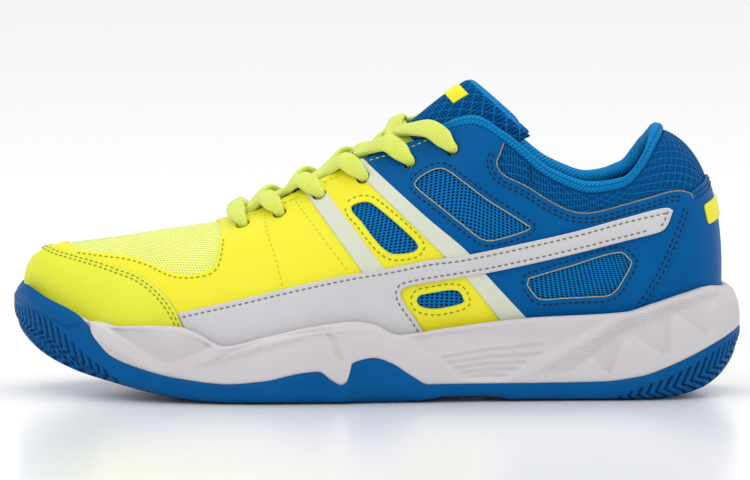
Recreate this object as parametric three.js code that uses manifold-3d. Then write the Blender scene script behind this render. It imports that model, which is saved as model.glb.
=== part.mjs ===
// A low-cut court shoe for the left foot: rubber cupsole, foam midsole, layered upper, padded tongue and lace.
// Millimetres, +Z up. The toe points to -X, the outer (lateral) side of the foot is -Y, the ground is z = 0.
// Every pattern below is drawn on one base size and graded to the driving dimensions.
import * as THREE from "three";
import { mergeVertices } from "three/addons/utils/BufferGeometryUtils.js";
import Module from "manifold-3d";

const wasm = await Module();
wasm.setup();

// Driving dimensions
const LENGTH = 295; // toe bumper to heel
const WIDTH = 110; // widest part of the sole, at the ball of the foot
const HEIGHT = 127; // ground to the tip of the tongue
const GAP = 0.3; // glue line or running clearance between neighbouring pieces
const OUTSOLE_THICKNESS = 3.6;
const OUTSOLE_WRAP = 2.4; // rubber wall that cups the midsole
const PANEL_THICKNESS = 0.7; // synthetic leather overlays
const MESH_THICKNESS = 0.8;
const STIFFENER_THICKNESS = 0.8; // toe puff, heel counter and eyestay reinforcement
const LINING_THICKNESS = 0.8;
const COLLAR_FOAM = 5.5; // extra depth of the padding round the ankle
const BINDING_RADIUS = 2.6; // rolled edge of the collar
const BOARD_THICKNESS = 1.8;
const SOCKLINER_THICKNESS = 4;
const SHANK_THICKNESS = 1.6;
const SHANK_HALF_WIDTH = 24;
const TONGUE_THICKNESS = 6.4;
const PATCH_THICKNESS = 0.6;
const LACE_WIDTH = 6.4;
const LACE_THICKNESS = 2.4;
const LACE_IN_HOLE = 4; // the lace bunches up to pass its eyelet
const EYELET_RADIUS = 2.9;
const EYELET_SETBACK = 9.5; // from the throat edge to the eyelets
const AGLET_LENGTH = 22;
const AGLET_RADIUS = 1.9;

// The base size that the patterns are drawn on
const BASE = { length: 295, width: 110, height: 127 };
const GRADE = new THREE.Vector3(LENGTH / BASE.length, WIDTH / BASE.width, HEIGHT / BASE.height);

// Stack of the upper, as offsets from the base surface along its outward normal
const LEVEL_A = [-PANEL_THICKNESS, 0];
const LEVEL_B = [GAP, GAP + PANEL_THICKNESS];
const LEVEL_C = [LEVEL_B[1] + GAP, LEVEL_B[1] + GAP + PANEL_THICKNESS];
const MESH_LEVEL = [LEVEL_A[0] - GAP - MESH_THICKNESS, LEVEL_A[0] - GAP];
const STIFFENER_LEVEL = [MESH_LEVEL[0] - GAP - STIFFENER_THICKNESS, MESH_LEVEL[0] - GAP];
const LINING_LEVEL = [STIFFENER_LEVEL[0] - GAP - LINING_THICKNESS, STIFFENER_LEVEL[0] - GAP];

// ---------------------------------------------------------------- curves

// Smooth monotone curve through [x, value] pairs, as a function of x.
function profile(points) {
  const n = points.length;
  const slope = [];
  for (let i = 0; i < n - 1; i++)
    slope.push((points[i + 1][1] - points[i][1]) / (points[i + 1][0] - points[i][0]));
  const tangent = points.map((_, i) => {
    if (i === 0) return slope[0];
    if (i === n - 1) return slope[n - 2];
    const product = slope[i - 1] * slope[i];
    return product <= 0 ? 0 : (2 * product) / (slope[i - 1] + slope[i]);
  });
  return (x) => {
    let i = 0;
    while (i < n - 2 && x > points[i + 1][0]) i++;
    const h = points[i + 1][0] - points[i][0];
    const s = Math.min(1, Math.max(0, (x - points[i][0]) / h));
    const a = points[i][1];
    const b = points[i + 1][1];
    return (
      a * (1 + 2 * s) * (1 - s) ** 2 +
      b * s * s * (3 - 2 * s) +
      h * s * (1 - s) * (tangent[i] * (1 - s) - tangent[i + 1] * s)
    );
  };
}

// A height profile along the shoe, graded: takes and gives real millimetres.
const alongShoe = (points) => {
  const curve = profile(points);
  return (x) => curve(x / GRADE.x) * GRADE.z;
};

const groundLine = alongShoe([
  [-147.5, 29], [-144, 24.5], [-140, 20.8], [-135, 17.2], [-128, 13.6], [-118, 9.8], [-106, 6.8],
  [-94, 4], [-82, 1.8], [-70, 0.4], [-62, 0], [16, 0], [30, 1.6], [44, 1.6], [56, 0], [108, 0],
  [120, 1], [130, 3.6], [137, 7.6], [142, 12.6], [145.5, 18], [147.5, 23],
]);
const rubberEdge = alongShoe([
  [-147.5, 41], [-144, 44], [-140, 42.5], [-135, 40], [-125, 36], [-120.5, 33.4], [-116, 28.5], [-112, 23],
  [-107, 18], [-97, 14], [-80, 10], [-60, 8], [-45, 9.2], [-30, 12.4], [-23, 13], [-18, 9.6],
  [-14, 7.6], [-11.5, 9], [-9.5, 16.2], [-1, 18.2], [6, 16], [14, 10.8], [21, 7.2], [60, 7.2],
  [90, 7.6], [106, 9.6], [120, 14.4], [134, 20.6], [147.5, 27],
]);
const foamEdge = alongShoe([
  [-147.5, 39.5], [-140, 38.5], [-125, 33], [-119, 31], [-115, 31], [-108, 29.6], [-90, 30.4],
  [-82, 30.2], [-75, 28.4], [-61.5, 22.8], [-45, 26.6], [-25, 30.8], [-9, 32.6], [-1, 31.4],
  [9.5, 27], [30, 29.6], [60, 33], [100, 35.2], [112, 38.4], [128, 42.6], [139, 44.6], [147.5, 43.5],
]);
const footbed = alongShoe([
  [-147.5, 31], [-140, 28], [-130, 23.6], [-118, 19.6], [-106, 17.2], [-94, 15.2], [-82, 14],
  [-62, 13.5], [-40, 14], [0, 17], [30, 19.5], [60, 21.5], [100, 22.6], [147.5, 23],
]);

// Perimeter of the sole, heel to toe: x, then y on the lateral and on the medial side.
const PERIMETER = [
  [147.5, 0, 0], [145.4, -13.5, 13.5], [138.5, -25.5, 25], [127, -34, 33], [111, -38.5, 37],
  [91, -40, 37], [69, -41, 35.5], [47, -43, 34.5], [25, -46, 36], [3, -50, 40], [-19, -53.6, 45.5],
  [-41, -55, 51], [-62, -53.6, 55], [-83, -49.4, 55], [-103, -42, 51], [-120, -32, 44],
  [-133, -21.5, 36], [-142.6, -8, 25.5], [-147.5, 9, 9],
];
const STATIONS = PERIMETER.length - 1; // stations 0 (heel) to 18 (toe tip) on each side
const LOOP = 2 * STATIONS; // positions 0 to 18 run along the lateral side, 18 to 36 back along the medial
const perimeterCurve = new THREE.CatmullRomCurve3(
  [
    ...PERIMETER.map(([x, lateral]) => new THREE.Vector3(x, lateral, 0)),
    ...PERIMETER.slice(1, -1).reverse().map(([x, , medial]) => new THREE.Vector3(x, medial, 0)),
  ].map((p) => p.multiply(GRADE)),
  true,
  "catmullrom",
  0.5,
);
const around = (v) => ((v % LOOP) + LOOP) % LOOP;
const isMedial = (v) => around(v) > STATIONS;
const stationOf = (v) => (isMedial(v) ? LOOP - around(v) : around(v));

// Outward direction in plan at a position on the perimeter.
function outward(v) {
  const step = 0.02;
  const a = perimeterCurve.getPoint(around(v - step) / LOOP);
  const b = perimeterCurve.getPoint(around(v + step) / LOOP);
  return new THREE.Vector3(a.y - b.y, b.x - a.x, 0).normalize();
}

// A point inset from the perimeter in plan.
const insetPoint = (v, inset) =>
  perimeterCurve.getPoint(around(v) / LOOP).addScaledVector(outward(v), -inset);

// ---------------------------------------------------------------- base surface of the upper

// Top line of the upper by station: collar, then throat edge, then (from station 14) the ridge of the toe box.
const THROAT_BASE = 14;
const crestX = profile([
  [0, 117], [1, 116], [2, 112.5], [3, 107], [4, 99], [5, 86], [6, 70], [7, 53], [8, 38], [9, 18],
  [10, -1], [11, -21], [12, -39], [13, -52], [14, -61], [15, -77], [16, -93], [17, -106], [18, -116],
]);
const crestHalfWidth = profile([
  [0, 0], [1, 11], [2, 20], [3, 26], [4, 30], [5, 32], [6, 32], [7, 30], [8, 26], [9, 21],
  [10, 17], [11, 15], [12, 14], [13, 11.5], [14, 0], [18, 0],
]);
const crestHeight = profile([
  [0, 107], [1, 106], [2, 101], [3, 92.5], [4, 85], [5, 83], [6, 88.7], [7, 102.3], [8, 110],
  [9, 104.3], [10, 97.3], [11, 88.2], [12, 79], [13, 73.4], [14, 70.6], [15, 68], [16, 65.5],
  [17, 63.1], [18, 61.2],
]);
const medialRise = profile([[0, 0], [1, 0], [2, 1], [3, 3.5], [4, 2], [5, 0], [18, 0]]);
const ridgeOffset = profile([[0, 0], [14, 0], [18, 4]]);
// Shape of each rib by station: inset, rise and bulge at the feather edge, reach and fall at the top line.
const rib = {
  inset: profile([[0, 9.5], [4, 10], [8, 10.5], [14, 10], [18, 9]]),
  rise: profile([[0, 29], [3, 27], [5, 23], [7, 26], [10, 32], [12, 33], [14, 27], [16, 19], [18, 14]]),
  bulge: profile([[0, 4.5], [3, 7], [5, 9], [7, 8], [10, 6], [14, 5], [16, 6], [18, 7.5]]),
  reach: profile([[0, 26], [2, 22], [4, 17], [5, 16], [6, 17], [8, 20], [10, 23], [13, 22], [14, 26], [18, 30]]),
  fall: profile([[0, 20], [2, 32], [4, 60], [5, 70], [6, 68], [8, 52], [10, 46], [12, 32], [13, 20], [14, 8], [16, 7], [18, -2]]),
};

function ribPoints(v) {
  const u = stationOf(v);
  const side = isMedial(v) ? 1 : -1;
  const out = outward(v);
  const foot = insetPoint(v, rib.inset(u));
  foot.z = footbed(foot.x) + GAP;
  const height = crestHeight(u) + (side > 0 ? medialRise(u) : 0);
  const crest = new THREE.Vector3(crestX(u), ridgeOffset(u) + side * crestHalfWidth(u), height);
  crest.multiply(GRADE);
  const fall = THREE.MathUtils.degToRad(rib.fall(u));
  const low = foot.clone().addScaledVector(out, rib.bulge(u));
  low.z += rib.rise(u) * GRADE.z;
  const high = crest.clone().addScaledVector(out, rib.reach(u) * Math.cos(fall));
  high.z -= rib.reach(u) * Math.sin(fall) * GRADE.z;
  return [foot, low, high, crest];
}
function basePoint(v, t) {
  const [a, b, c, d] = ribPoints(v);
  const s = 1 - t;
  return new THREE.Vector3()
    .addScaledVector(a, s * s * s)
    .addScaledVector(b, 3 * s * s * t)
    .addScaledVector(c, 3 * s * t * t)
    .addScaledVector(d, t * t * t);
}

// Outward normal of the base surface: level at the feather edge, and shared by both sides on the ridge.
function baseNormal(v, t) {
  const step = 0.03;
  const u = stationOf(v);
  if (t > 1 - 1e-6 && u >= THROAT_BASE) {
    const back = basePoint(Math.max(u - step, THROAT_BASE), 1);
    const along = back.sub(basePoint(Math.min(u + step, STATIONS), 1));
    return new THREE.Vector3(-along.z, 0, along.x).normalize();
  }
  const alongLoop = basePoint(v + step, t).sub(basePoint(v - step, t));
  const upRib = basePoint(v, Math.min(1, t + 0.01)).sub(basePoint(v, Math.max(0, t - 0.01)));
  const normal = upRib.cross(alongLoop).normalize();
  normal.z *= Math.min(1, t * FLIGHT);
  return normal.normalize();
}
const upperPoint = (v, t, offset) => basePoint(v, t).addScaledVector(baseNormal(v, t), offset);

// The grid that every layer of the upper shares, so that neighbouring layers nest.
const FLIGHT = 6; // steps up each rib
const SIDE_GRID = [0, 0.7, 1.4, 2.2, 3.1, 4, 5, 6, 7, 8, 9, 10, 11, 12, 13, 14, 15, 16, 17, 18];
const GRID = [...SIDE_GRID, ...SIDE_GRID.slice(1, -1).reverse().map((u) => LOOP - u)];

// ---------------------------------------------------------------- solids

function fromGeometry(geometry) {
  geometry.deleteAttribute("normal");
  geometry.deleteAttribute("uv");
  const merged = mergeVertices(geometry, 1e-4);
  const index = [];
  for (let i = 0; i < merged.index.count; i += 3) {
    const [a, b, c] = [0, 1, 2].map((k) => merged.index.getX(i + k));
    if (a !== b && b !== c && c !== a) index.push(a, b, c);
  }
  const vertProperties = new Float32Array(merged.attributes.position.array);
  const solid = (triVerts) => new wasm.Manifold(new wasm.Mesh({ numProp: 3, vertProperties, triVerts }));
  const made = solid(new Uint32Array(index));
  return made.volume() >= 0 ? made : solid(new Uint32Array(index.toReversed()));
}
function fromFaces(vertices, faces) {
  const geometry = new THREE.BufferGeometry();
  const flat = vertices.flatMap((p) => [p.x, p.y, p.z]);
  geometry.setAttribute("position", new THREE.Float32BufferAttribute(flat, 3));
  geometry.setIndex(faces.flat());
  return fromGeometry(geometry);
}
function toGeometry(solid) {
  const mesh = solid.getMesh();
  const geometry = new THREE.BufferGeometry();
  geometry.setAttribute("position", new THREE.BufferAttribute(new Float32Array(mesh.vertProperties), 3));
  geometry.setIndex(new THREE.BufferAttribute(new Uint32Array(mesh.triVerts), 1));
  return geometry;
}
const join = (solids) => solids.reduce((whole, solid) => whole.add(solid));
const cut = (solid, tools) => tools.reduce((rest, tool) => rest.subtract(tool), solid);

// Two triangles for each cell between ring i and the next one, each ring holding size points in a loop.
function ringFaces(rings, size, { closed = false, skip = () => false, turned = () => false } = {}) {
  const faces = [];
  for (let i = 0; i < (closed ? rings : rings - 1); i++)
    for (let j = 0; j < size; j++) {
      if (skip(i, j)) continue;
      const [here, next] = [i * size, ((i + 1) % rings) * size];
      const k = (j + 1) % size;
      if (turned(i, j)) faces.push([here + j, here + k, next + j], [here + k, next + k, next + j]);
      else faces.push([here + j, here + k, next + k], [here + j, next + k, next + j]);
    }
  return faces;
}

// Closed body whose skin runs through one loop of points per level, capped across from side to side.
function loopSolid(levels, pointAt) {
  const count = GRID.length;
  const vertices = levels.flatMap((level) => GRID.map((v) => pointAt(level, v)));
  const faces = ringFaces(levels.length, count);
  const cap = (start, turn) => {
    for (let i = 0; i < count / 2; i++) {
      const [a, b] = [start + i, start + i + 1];
      const [c, d] = [start + ((count - i - 1) % count), start + ((count - i) % count)];
      const strips = [[a, c, b], [a, d, c]];
      faces.push(...(turn ? strips.map((f) => f.toReversed()) : strips));
    }
  };
  cap(0, false);
  cap((levels.length - 1) * count, true);
  return fromFaces(vertices, faces);
}

// The whole upper between two offsets, open at the foot and along the collar and throat.
const depthAt = (level, v, t) => (typeof level === "function" ? level(stationOf(v), t) : level);
function upperShell([inner, outer]) {
  const rings = [];
  for (let j = 0; j <= FLIGHT; j++) rings.push([j / FLIGHT, outer]);
  for (let j = FLIGHT; j >= 0; j--) rings.push([j / FLIGHT, inner]);
  const vertices = rings.flatMap(([t, level]) => GRID.map((v) => upperPoint(v, t, depthAt(level, v, t))));
  const onRidge = (i) => stationOf(GRID[i % GRID.length]) >= THROAT_BASE;
  const skip = (ring, i) => ring === FLIGHT && onRidge(i) && onRidge(i + 1);
  const turned = (ring) => ring > FLIGHT; // the inner face is split along the same diagonals as the outer
  return fromFaces(vertices, ringFaces(rings.length, GRID.length, { closed: true, skip, turned }));
}

// A slab between two sheets: sheet(i, j, face) gives the point of face 0 or face 1 at a grid position.
function sheetSolid(rows, columns, sheet) {
  const vertices = [];
  const size = 2 * (columns + 1);
  for (let i = 0; i <= rows; i++) {
    for (let j = 0; j <= columns; j++) vertices.push(sheet(i, j, 0));
    for (let j = columns; j >= 0; j--) vertices.push(sheet(i, j, 1));
  }
  const faces = ringFaces(rows + 1, size, { turned: (_, j) => j > columns });
  for (let j = 0; j < columns; j++) {
    const [a, d] = [j, size - 1 - j];
    const end = rows * size;
    faces.push([a, d - 1, a + 1], [a, d, d - 1]);
    faces.push([end + a, end + a + 1, end + d - 1], [end + a, end + d - 1, end + d]);
  }
  return fromFaces(vertices, faces);
}

// A sweep of an n-sided section: frames are [centre, width direction, thickness direction, half sizes].
function sweep(frames, sides) {
  const vertices = [];
  for (const [centre, across, up, halfWidth, halfThickness] of frames)
    for (let k = 0; k < sides; k++) {
      const angle = (2 * Math.PI * k) / sides;
      vertices.push(
        centre
          .clone()
          .addScaledVector(across, halfWidth * Math.cos(angle))
          .addScaledVector(up, halfThickness * Math.sin(angle)),
      );
    }
  const faces = ringFaces(frames.length, sides);
  const end = (frames.length - 1) * sides;
  for (let k = 1; k < sides - 1; k++) {
    faces.push([0, k + 1, k]);
    faces.push([end, end + k, end + k + 1]);
  }
  return fromFaces(vertices, faces);
}

// Side-view outline from [x, z, corner radius] points, as a prism over one side of the shoe or over both.
const REACH = 2 * WIDTH;
const SPANS = { both: [-REACH, REACH], lateral: [-REACH, -GAP / 2], medial: [GAP / 2, REACH] };
function prism(points, side = "both") {
  const corners = points.map(([x, z, radius = 0]) => [new THREE.Vector2(x * GRADE.x, z * GRADE.z), radius]);
  const shape = new THREE.Shape();
  corners.forEach(([corner, radius], i) => {
    const toward = ([other]) => {
      const way = other.clone().sub(corner);
      return way.setLength(Math.min(radius, way.length() * 0.48)).add(corner);
    };
    const before = toward(corners.at(i - 1));
    const after = toward(corners[(i + 1) % corners.length]);
    if (i === 0) shape.moveTo(before.x, before.y);
    else shape.lineTo(before.x, before.y);
    if (radius > 0) shape.quadraticCurveTo(corner.x, corner.y, after.x, after.y);
  });
  shape.closePath();
  const [low, high] = SPANS[side];
  const geometry = new THREE.ExtrudeGeometry(shape, { depth: high - low, bevelEnabled: false, curveSegments: 2 });
  geometry.rotateX(Math.PI / 2);
  geometry.translate(0, high, 0);
  return fromGeometry(geometry);
}

// ---------------------------------------------------------------- sole unit

// Room that the upper takes in the sole: its outer layers, less deep where fewer of them reach the sole.
const stackAtSole = profile([[0, 0], [4.5, 0], [5.5, 1], [7, 1], [7.7, 2], [15, 2], [16, 1], [18, 1]]);
const BOARD_TOP = (x) => footbed(x);
const FLOOR = (x) => footbed(x) - BOARD_THICKNESS - GAP;
const upperRoom = loopSolid([-1, 0, 1, 2, 3], (k, v) => {
  const point = upperPoint(v, Math.max(0, k) / FLIGHT, stackAtSole(stationOf(v)) + GAP);
  if (k < 0) point.z = FLOOR(basePoint(v, 0).x);
  return point;
});

const mix = THREE.MathUtils.lerp;
const rubberBody = loopSolid([[0, 5], [0.14, 1.6], [0.45, 0], [1, 0.5]], ([f, inset], v) => {
  const point = insetPoint(v, inset);
  point.z = mix(groundLine(point.x), rubberEdge(point.x), f);
  return point;
});
// The foam stands inside the rubber wall, then steps out over its edge; margin grows it on every side.
function foamBody(margin) {
  const levels = ["bottom", "ledgeIn", "ledgeOut", "swell", "top"];
  return loopSolid(levels, (level, v) => {
    const edge = perimeterCurve.getPoint(around(v) / LOOP);
    const [rubber, foam] = [rubberEdge(edge.x), foamEdge(edge.x)];
    const open = THREE.MathUtils.smoothstep(foam - rubber, 1, 5);
    const inner = OUTSOLE_WRAP + GAP - margin;
    const insets = { bottom: inner + 1.2, ledgeIn: inner, ledgeOut: mix(inner, 0.2, open) - margin, top: mix(inner, 2.2, open) };
    insets.swell = mix(inner, 0, open) - margin;
    const point = insetPoint(v, insets[level]);
    const ledge = Math.min(rubber, foam - 3);
    const heights = {
      bottom: groundLine(point.x) + OUTSOLE_THICKNESS + GAP - margin,
      ledgeIn: ledge + GAP - margin,
      ledgeOut: ledge + 0.4 + GAP - margin,
      swell: mix(ledge, foam, 0.6),
      top: foam + margin,
    };
    point.z = heights[level];
    return point;
  });
}

// Flex grooves under the foot, chevrons across the tread.
function treadGroove(x) {
  const points = [];
  for (let k = -3; k <= 3; k++) points.push([x + (k % 2 ? 6 : 0), k * 12]);
  const outline = [...points, ...points.toReversed().map(([px, y]) => [px + 2, y])];
  const shape = new THREE.Shape(outline.map(([px, y]) => new THREE.Vector2(px * GRADE.x, y * GRADE.y)));
  const geometry = new THREE.ExtrudeGeometry(shape, { depth: 3.2, bevelEnabled: false });
  geometry.translate(0, 0, -2);
  return fromGeometry(geometry);
}
const grooves = [-78, -56, -34, 64, 86].map(treadGroove);
const shank = (margin) =>
  sheetSolid(6, 1, (i, j, face) => {
    const x = mix(-20 * GRADE.x - margin, 60 * GRADE.x + margin, i / 6);
    const y = (j ? 1 : -1) * (SHANK_HALF_WIDTH * GRADE.y + margin);
    const top = FLOOR(x) + (margin ? 1 : 0);
    return new THREE.Vector3(x, y, face ? top : FLOOR(x) - SHANK_THICKNESS - margin);
  });
const footPlan = (inset) => (z, v) => {
  const point = upperPoint(v, 0, stackAtSole(stationOf(v)) - inset);
  point.z = z(basePoint(v, 0).x);
  return point;
};

const outsole = cut(rubberBody, [foamBody(GAP), upperRoom, ...grooves]);
const midsole = cut(foamBody(0), [upperRoom, shank(GAP)]);
const shankPlate = shank(0);
const insoleBoard = loopSolid([(x) => BOARD_TOP(x) - BOARD_THICKNESS, BOARD_TOP], footPlan(0));
const sockliner = loopSolid([0, 1], (k, v) => {
  const point = upperPoint(v, 0, LINING_LEVEL[0] - 2 * GAP);
  point.z = BOARD_TOP(basePoint(v, 0).x) + GAP + k * SOCKLINER_THICKNESS;
  return point;
});

// ---------------------------------------------------------------- upper

// Depth of the ankle padding by station and height up the rib.
const paddingRound = profile([[0, 0.8], [2, 1], [6, 1], [7, 0.6], [8.2, 0], [18, 0]]);
const paddingUp = profile([[0, 0], [0.48, 0], [0.7, 1], [0.88, 1], [1, 0.45]]);
const padding = (u, t) => COLLAR_FOAM * paddingRound(u) * paddingUp(t);
const padded = (offset) => (u, t) => offset - padding(u, t);

const EYELETS = [12.9, 11.9, 11.05, 10.2, 9.25, 8.4]; // stations of the eyelets, bottom row first
const sideways = (u, side) => (side < 0 ? u : LOOP - u);
const upRib = (v, t) => basePoint(v, t + 0.01).sub(basePoint(v, t - 0.01)).normalize();
function eyeletHeight(v) {
  let t = 1;
  while (basePoint(v, t).distanceTo(basePoint(v, 1)) < EYELET_SETBACK) t -= 0.005;
  return t;
}
const eyelets = EYELETS.flatMap((u) => [-1, 1].map((side) => {
  const v = sideways(u, side);
  return { u, side, v, t: eyeletHeight(v) };
}));
function eyeletPunch({ v, t }) {
  const punch = new THREE.CylinderGeometry(EYELET_RADIUS, EYELET_RADIUS, 14, 8);
  const along = new THREE.Quaternion().setFromUnitVectors(new THREE.Vector3(0, 1, 0), baseNormal(v, t));
  punch.applyQuaternion(along);
  const centre = upperPoint(v, t, -2);
  punch.translate(centre.x, centre.y, centre.z);
  return fromGeometry(punch);
}
const punches = eyelets.map(eyeletPunch);

const liningShell = upperShell([padded(LINING_LEVEL[0]), padded(LINING_LEVEL[1])]);
const foamShell = upperShell([padded(STIFFENER_LEVEL[0]), STIFFENER_LEVEL[1]]);
const stiffenerShell = upperShell(STIFFENER_LEVEL);
const meshShell = upperShell(MESH_LEVEL);
const shellA = upperShell(LEVEL_A);
const shellB = upperShell(LEVEL_B);
const shellC = upperShell(LEVEL_C);
const piece = (shell, outline, { side = "both", without = [] } = {}) =>
  cut(shell.intersect(prism(outline, side)), without);
const block = (from, to, low = -9, high = 200) => [[from, low], [to, low], [to, high], [from, high]];

// Side-view patterns on the base size: [x, z, corner radius].
const THROAT_END = 44; // where the two sides of the lining and mesh meet the collar
const vampMeshEdge = -70;
const toeCapEdge = [
  [-133, 58.6], [-122, 57, 9], [-103, 52.6, 9], [-92, 49, 9], [-84, 42, 6], [-78.5, 33, 5], [-74.5, 22],
];
const overlayFront = [
  [-124, 57.4], [-103, 57.2, 9], [-91, 55, 8], [-81, 51.6, 8], [-68, 52.8, 8], [-64.5, 56, 5], [-67, 76],
];
const stripeLine = [[-24.5, 92], [-20, 82], [0, 53], [4, 30], [8, 0]]; // middle of the front stripe
const rearSeam = [[0, 103], [4, 90], [14, 76], [32, 58.5], [45, 46], [56, 32.5], [62, 18]];
const heelSeam = [
  [138, 93], [127.5, 84.5, 2], [128, 79, 5], [125, 71, 9], [117, 52.5, 12], [106, 36.5, 9], [101, 14],
];
const collarSeam = [
  [51.5, 115], [49, 98, 6], [50.5, 91.6, 4], [70, 80.8, 8], [84, 75.6, 9], [100, 79.8, 9], [124, 85.2, 4], [129, 87],
];
const bandTop = [
  [-82, 35.4], [-65, 39.2, 9], [-38, 45.5, 9], [5, 54, 9], [35, 59, 9], [80, 68.8, 9], [117.5, 78.8, 2],
];
const bandUnder = [
  [116.5, 70, 3], [100, 65, 9], [60, 55.3, 9], [35, 50.5, 9], [9, 46.2, 3], [11, 40, 4], [20, 24], [24, 8],
];
const windows = {
  front: [
    [-11, 79, 2], [-5, 81.2, 3], [-1, 80.4, 3], [17.5, 63.2, 2], [14, 60, 3], [5, 59.6, 4], [-2, 66, 5],
  ],
  lower: [[15.4, 40, 2], [17, 43.8, 2], [32.6, 45.6, 2], [35.8, 40.2, 2], [25, 37.4, 4], [18, 38, 2]],
  rear: [
    [15, 87.6, 1.5], [21, 93.6, 4], [29, 93.8, 4], [45, 81, 9], [62.4, 69.9, 1.5], [45, 64.6, 4], [35, 71, 8],
  ],
  heel: [
    [60, 46, 2], [61.4, 50.2, 2], [80, 55.5, 8], [98, 61.2, 3], [103, 56, 3], [100, 51, 4], [94.5, 43, 4],
    [75, 41.6, 6], [64, 41.4, 2],
  ],
};
const shifted = (line, dx) => line.map(([x, z, r]) => [x + dx, z, r]);
const windowPrisms = Object.fromEntries(Object.entries(windows).map(([name, outline]) => [name, prism(outline)]));

const vampOverlay = piece(
  shellA,
  [...overlayFront, [-67, 120], [-24.6, 120], ...shifted(stripeLine, -GAP), [-124, 0]],
  { without: punches },
);
const midPanel = (side) =>
  piece(
    shellA,
    [[-24, 120], [-2, 120], ...shifted(rearSeam, -GAP), [62, 0], ...shifted(stripeLine, GAP).toReversed()],
    { side, without: [windowPrisms.front, windowPrisms.lower, ...punches] },
  );
const quarterPanel = (side) =>
  piece(
    shellA,
    [...rearSeam.toReversed(), [0, 130], ...collarSeam, ...heelSeam.slice(1), [100, 0], [62, 0]],
    { side, without: [windowPrisms.rear, windowPrisms.heel, ...punches] },
  );
const heelPanel = piece(shellA, [[106, 0], [160, 0], [160, 92], ...shifted(heelSeam, 0.5)]);
const toeCap = piece(shellB, [...toeCapEdge, [-74, 0], [-160, 0], [-160, 58.6]]);
const frontStripe = (side) =>
  piece(shellB, [[-31, 87], [-20, 95], [-17, 80.5], [8, 46], [1, 44], [-27, 82]], { side, without: punches });
const rearStripe = (side) =>
  piece(
    shellB,
    [[-6, 90], [-5, 98], [20, 74.5], [37, 60], [53, 42], [61, 33], [70, 16], [58, 14], [50.5, 32], [43, 40], [28, 58], [10, 75.5]],
    { side, without: punches },
  );
const sideBand = (side) => piece(shellC, [...bandTop, ...bandUnder, [20, 0], [-70, 0], [-74, 20]], { side });

const vampMesh = piece(meshShell, block(-160, vampMeshEdge));
const sideMesh = (side) =>
  piece(meshShell, block(vampMeshEdge + GAP, THROAT_END), { side, without: punches });
const heelMesh = piece(meshShell, block(THROAT_END + GAP, 160));
const toePuff = piece(stiffenerShell, block(-160, -112, -9, 56));
const heelCounter = piece(stiffenerShell, [[92, 0], [160, 0], [160, 70], [108, 70, 6], [96, 50, 6]]);
const eyestay = (side) =>
  piece(
    stiffenerShell,
    [[-58, 66], [-58, 90], [-20, 110], [36, 130], [37, 101], [31, 97], [11, 91], [-6, 84.5], [-36, 70], [-50, 64]],
    { side, without: punches },
  );
const collarFoam = piece(foamShell, [
  [39, 130], [39, 99], [50, 88, 6], [70, 78, 6], [90, 74, 6], [110, 73], [160, 73], [160, 130],
]);
const vampLining = piece(liningShell, block(-160, vampMeshEdge));
const quarterLining = piece(liningShell, block(vampMeshEdge + GAP, 160), { without: punches });

// Rolled binding along the collar, from one end of the throat round the heel to the other.
const ROLL_END = 9;
const rollGrid = SIDE_GRID.filter((u) => u <= ROLL_END);
const collarBinding = sweep(
  [...rollGrid.slice(1).toReversed().map((u) => -u), ...rollGrid].map((v) => {
    const u = stationOf(v);
    const taper = THREE.MathUtils.smoothstep(ROLL_END - u, -0.2, 1.2);
    const wall = 0.5 * (padded(LINING_LEVEL[0])(u, 1) + LEVEL_A[1]);
    const halfWidth = mix(1.6, 0.6 - wall, taper);
    const radius = mix(1.4, BINDING_RADIUS, taper);
    const up = basePoint(v, 1).sub(basePoint(v, 0.98)).normalize();
    const centre = upperPoint(v, 1, wall).addScaledVector(up, radius + GAP);
    return [centre, baseNormal(v, 1), up, halfWidth, radius];
  }),
  8,
);

// Plain patch on the back of the heel.
const patchLevel = upperShell([LEVEL_B[0], LEVEL_B[0] + PATCH_THICKNESS]);
const heelPatch = piece(patchLevel, [[125, 71, 1], [160, 71], [160, 77], [125, 77, 1]]);

// ---------------------------------------------------------------- tongue

// Sections of the tongue from its root up: crown x and z, half width, depth of the wings, lean of the section.
const TONGUE = [
  [-65.5, 64.4, 13, 4, 78], [-52, 67.8, 14, 8, 70], [-38, 73.8, 15, 11.5, 64], [-21, 83, 16, 16, 60],
  [-8, 92, 16, 21, 57], [4, 101, 16, 26, 56], [15, 109.5, 16.3, 31, 56], [26, 118.4, 16.8, 36, 57], [34, 126, 17.3, 39, 58],
];
const TONGUE_COLUMNS = 8;
function tonguePoint(i, j, depth) {
  const [x, z, halfWidth, wing, lean] = TONGUE[i];
  const angle = mix(-1.35, 1.35, j / TONGUE_COLUMNS);
  const a = THREE.MathUtils.degToRad(lean);
  const down = new THREE.Vector3(Math.cos(a), 0, -Math.sin(a));
  const drop = wing * (1 - Math.cos(angle));
  const inwardTurn = Math.atan2(wing * Math.sin(angle), halfWidth * Math.cos(angle));
  const inward = new THREE.Vector3(0, -Math.sin(inwardTurn), 0).addScaledVector(down, Math.cos(inwardTurn));
  return new THREE.Vector3(x, halfWidth * Math.sin(angle), z)
    .multiply(GRADE)
    .addScaledVector(down, drop)
    .addScaledVector(inward, depth);
}
// Layers of the tongue by depth below its face.
const COVER_DEPTH = [0, 0.9];
const FOAM_DEPTH = [COVER_DEPTH[1] + GAP, TONGUE_THICKNESS - 1.1];
const TONGUE_LINING_DEPTH = [FOAM_DEPTH[1] + GAP, TONGUE_THICKNESS];
const tongueLayer = ([top, bottom]) =>
  sheetSolid(TONGUE.length - 1, TONGUE_COLUMNS, (i, j, face) => tonguePoint(i, j, face ? bottom : top));
const tonguePatch = sheetSolid(1, 4, (i, j, face) =>
  tonguePoint(TONGUE.length - 2 + i, 2 + j, -GAP - (face ? 0 : PATCH_THICKNESS)),
);

// ---------------------------------------------------------------- lacing

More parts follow.
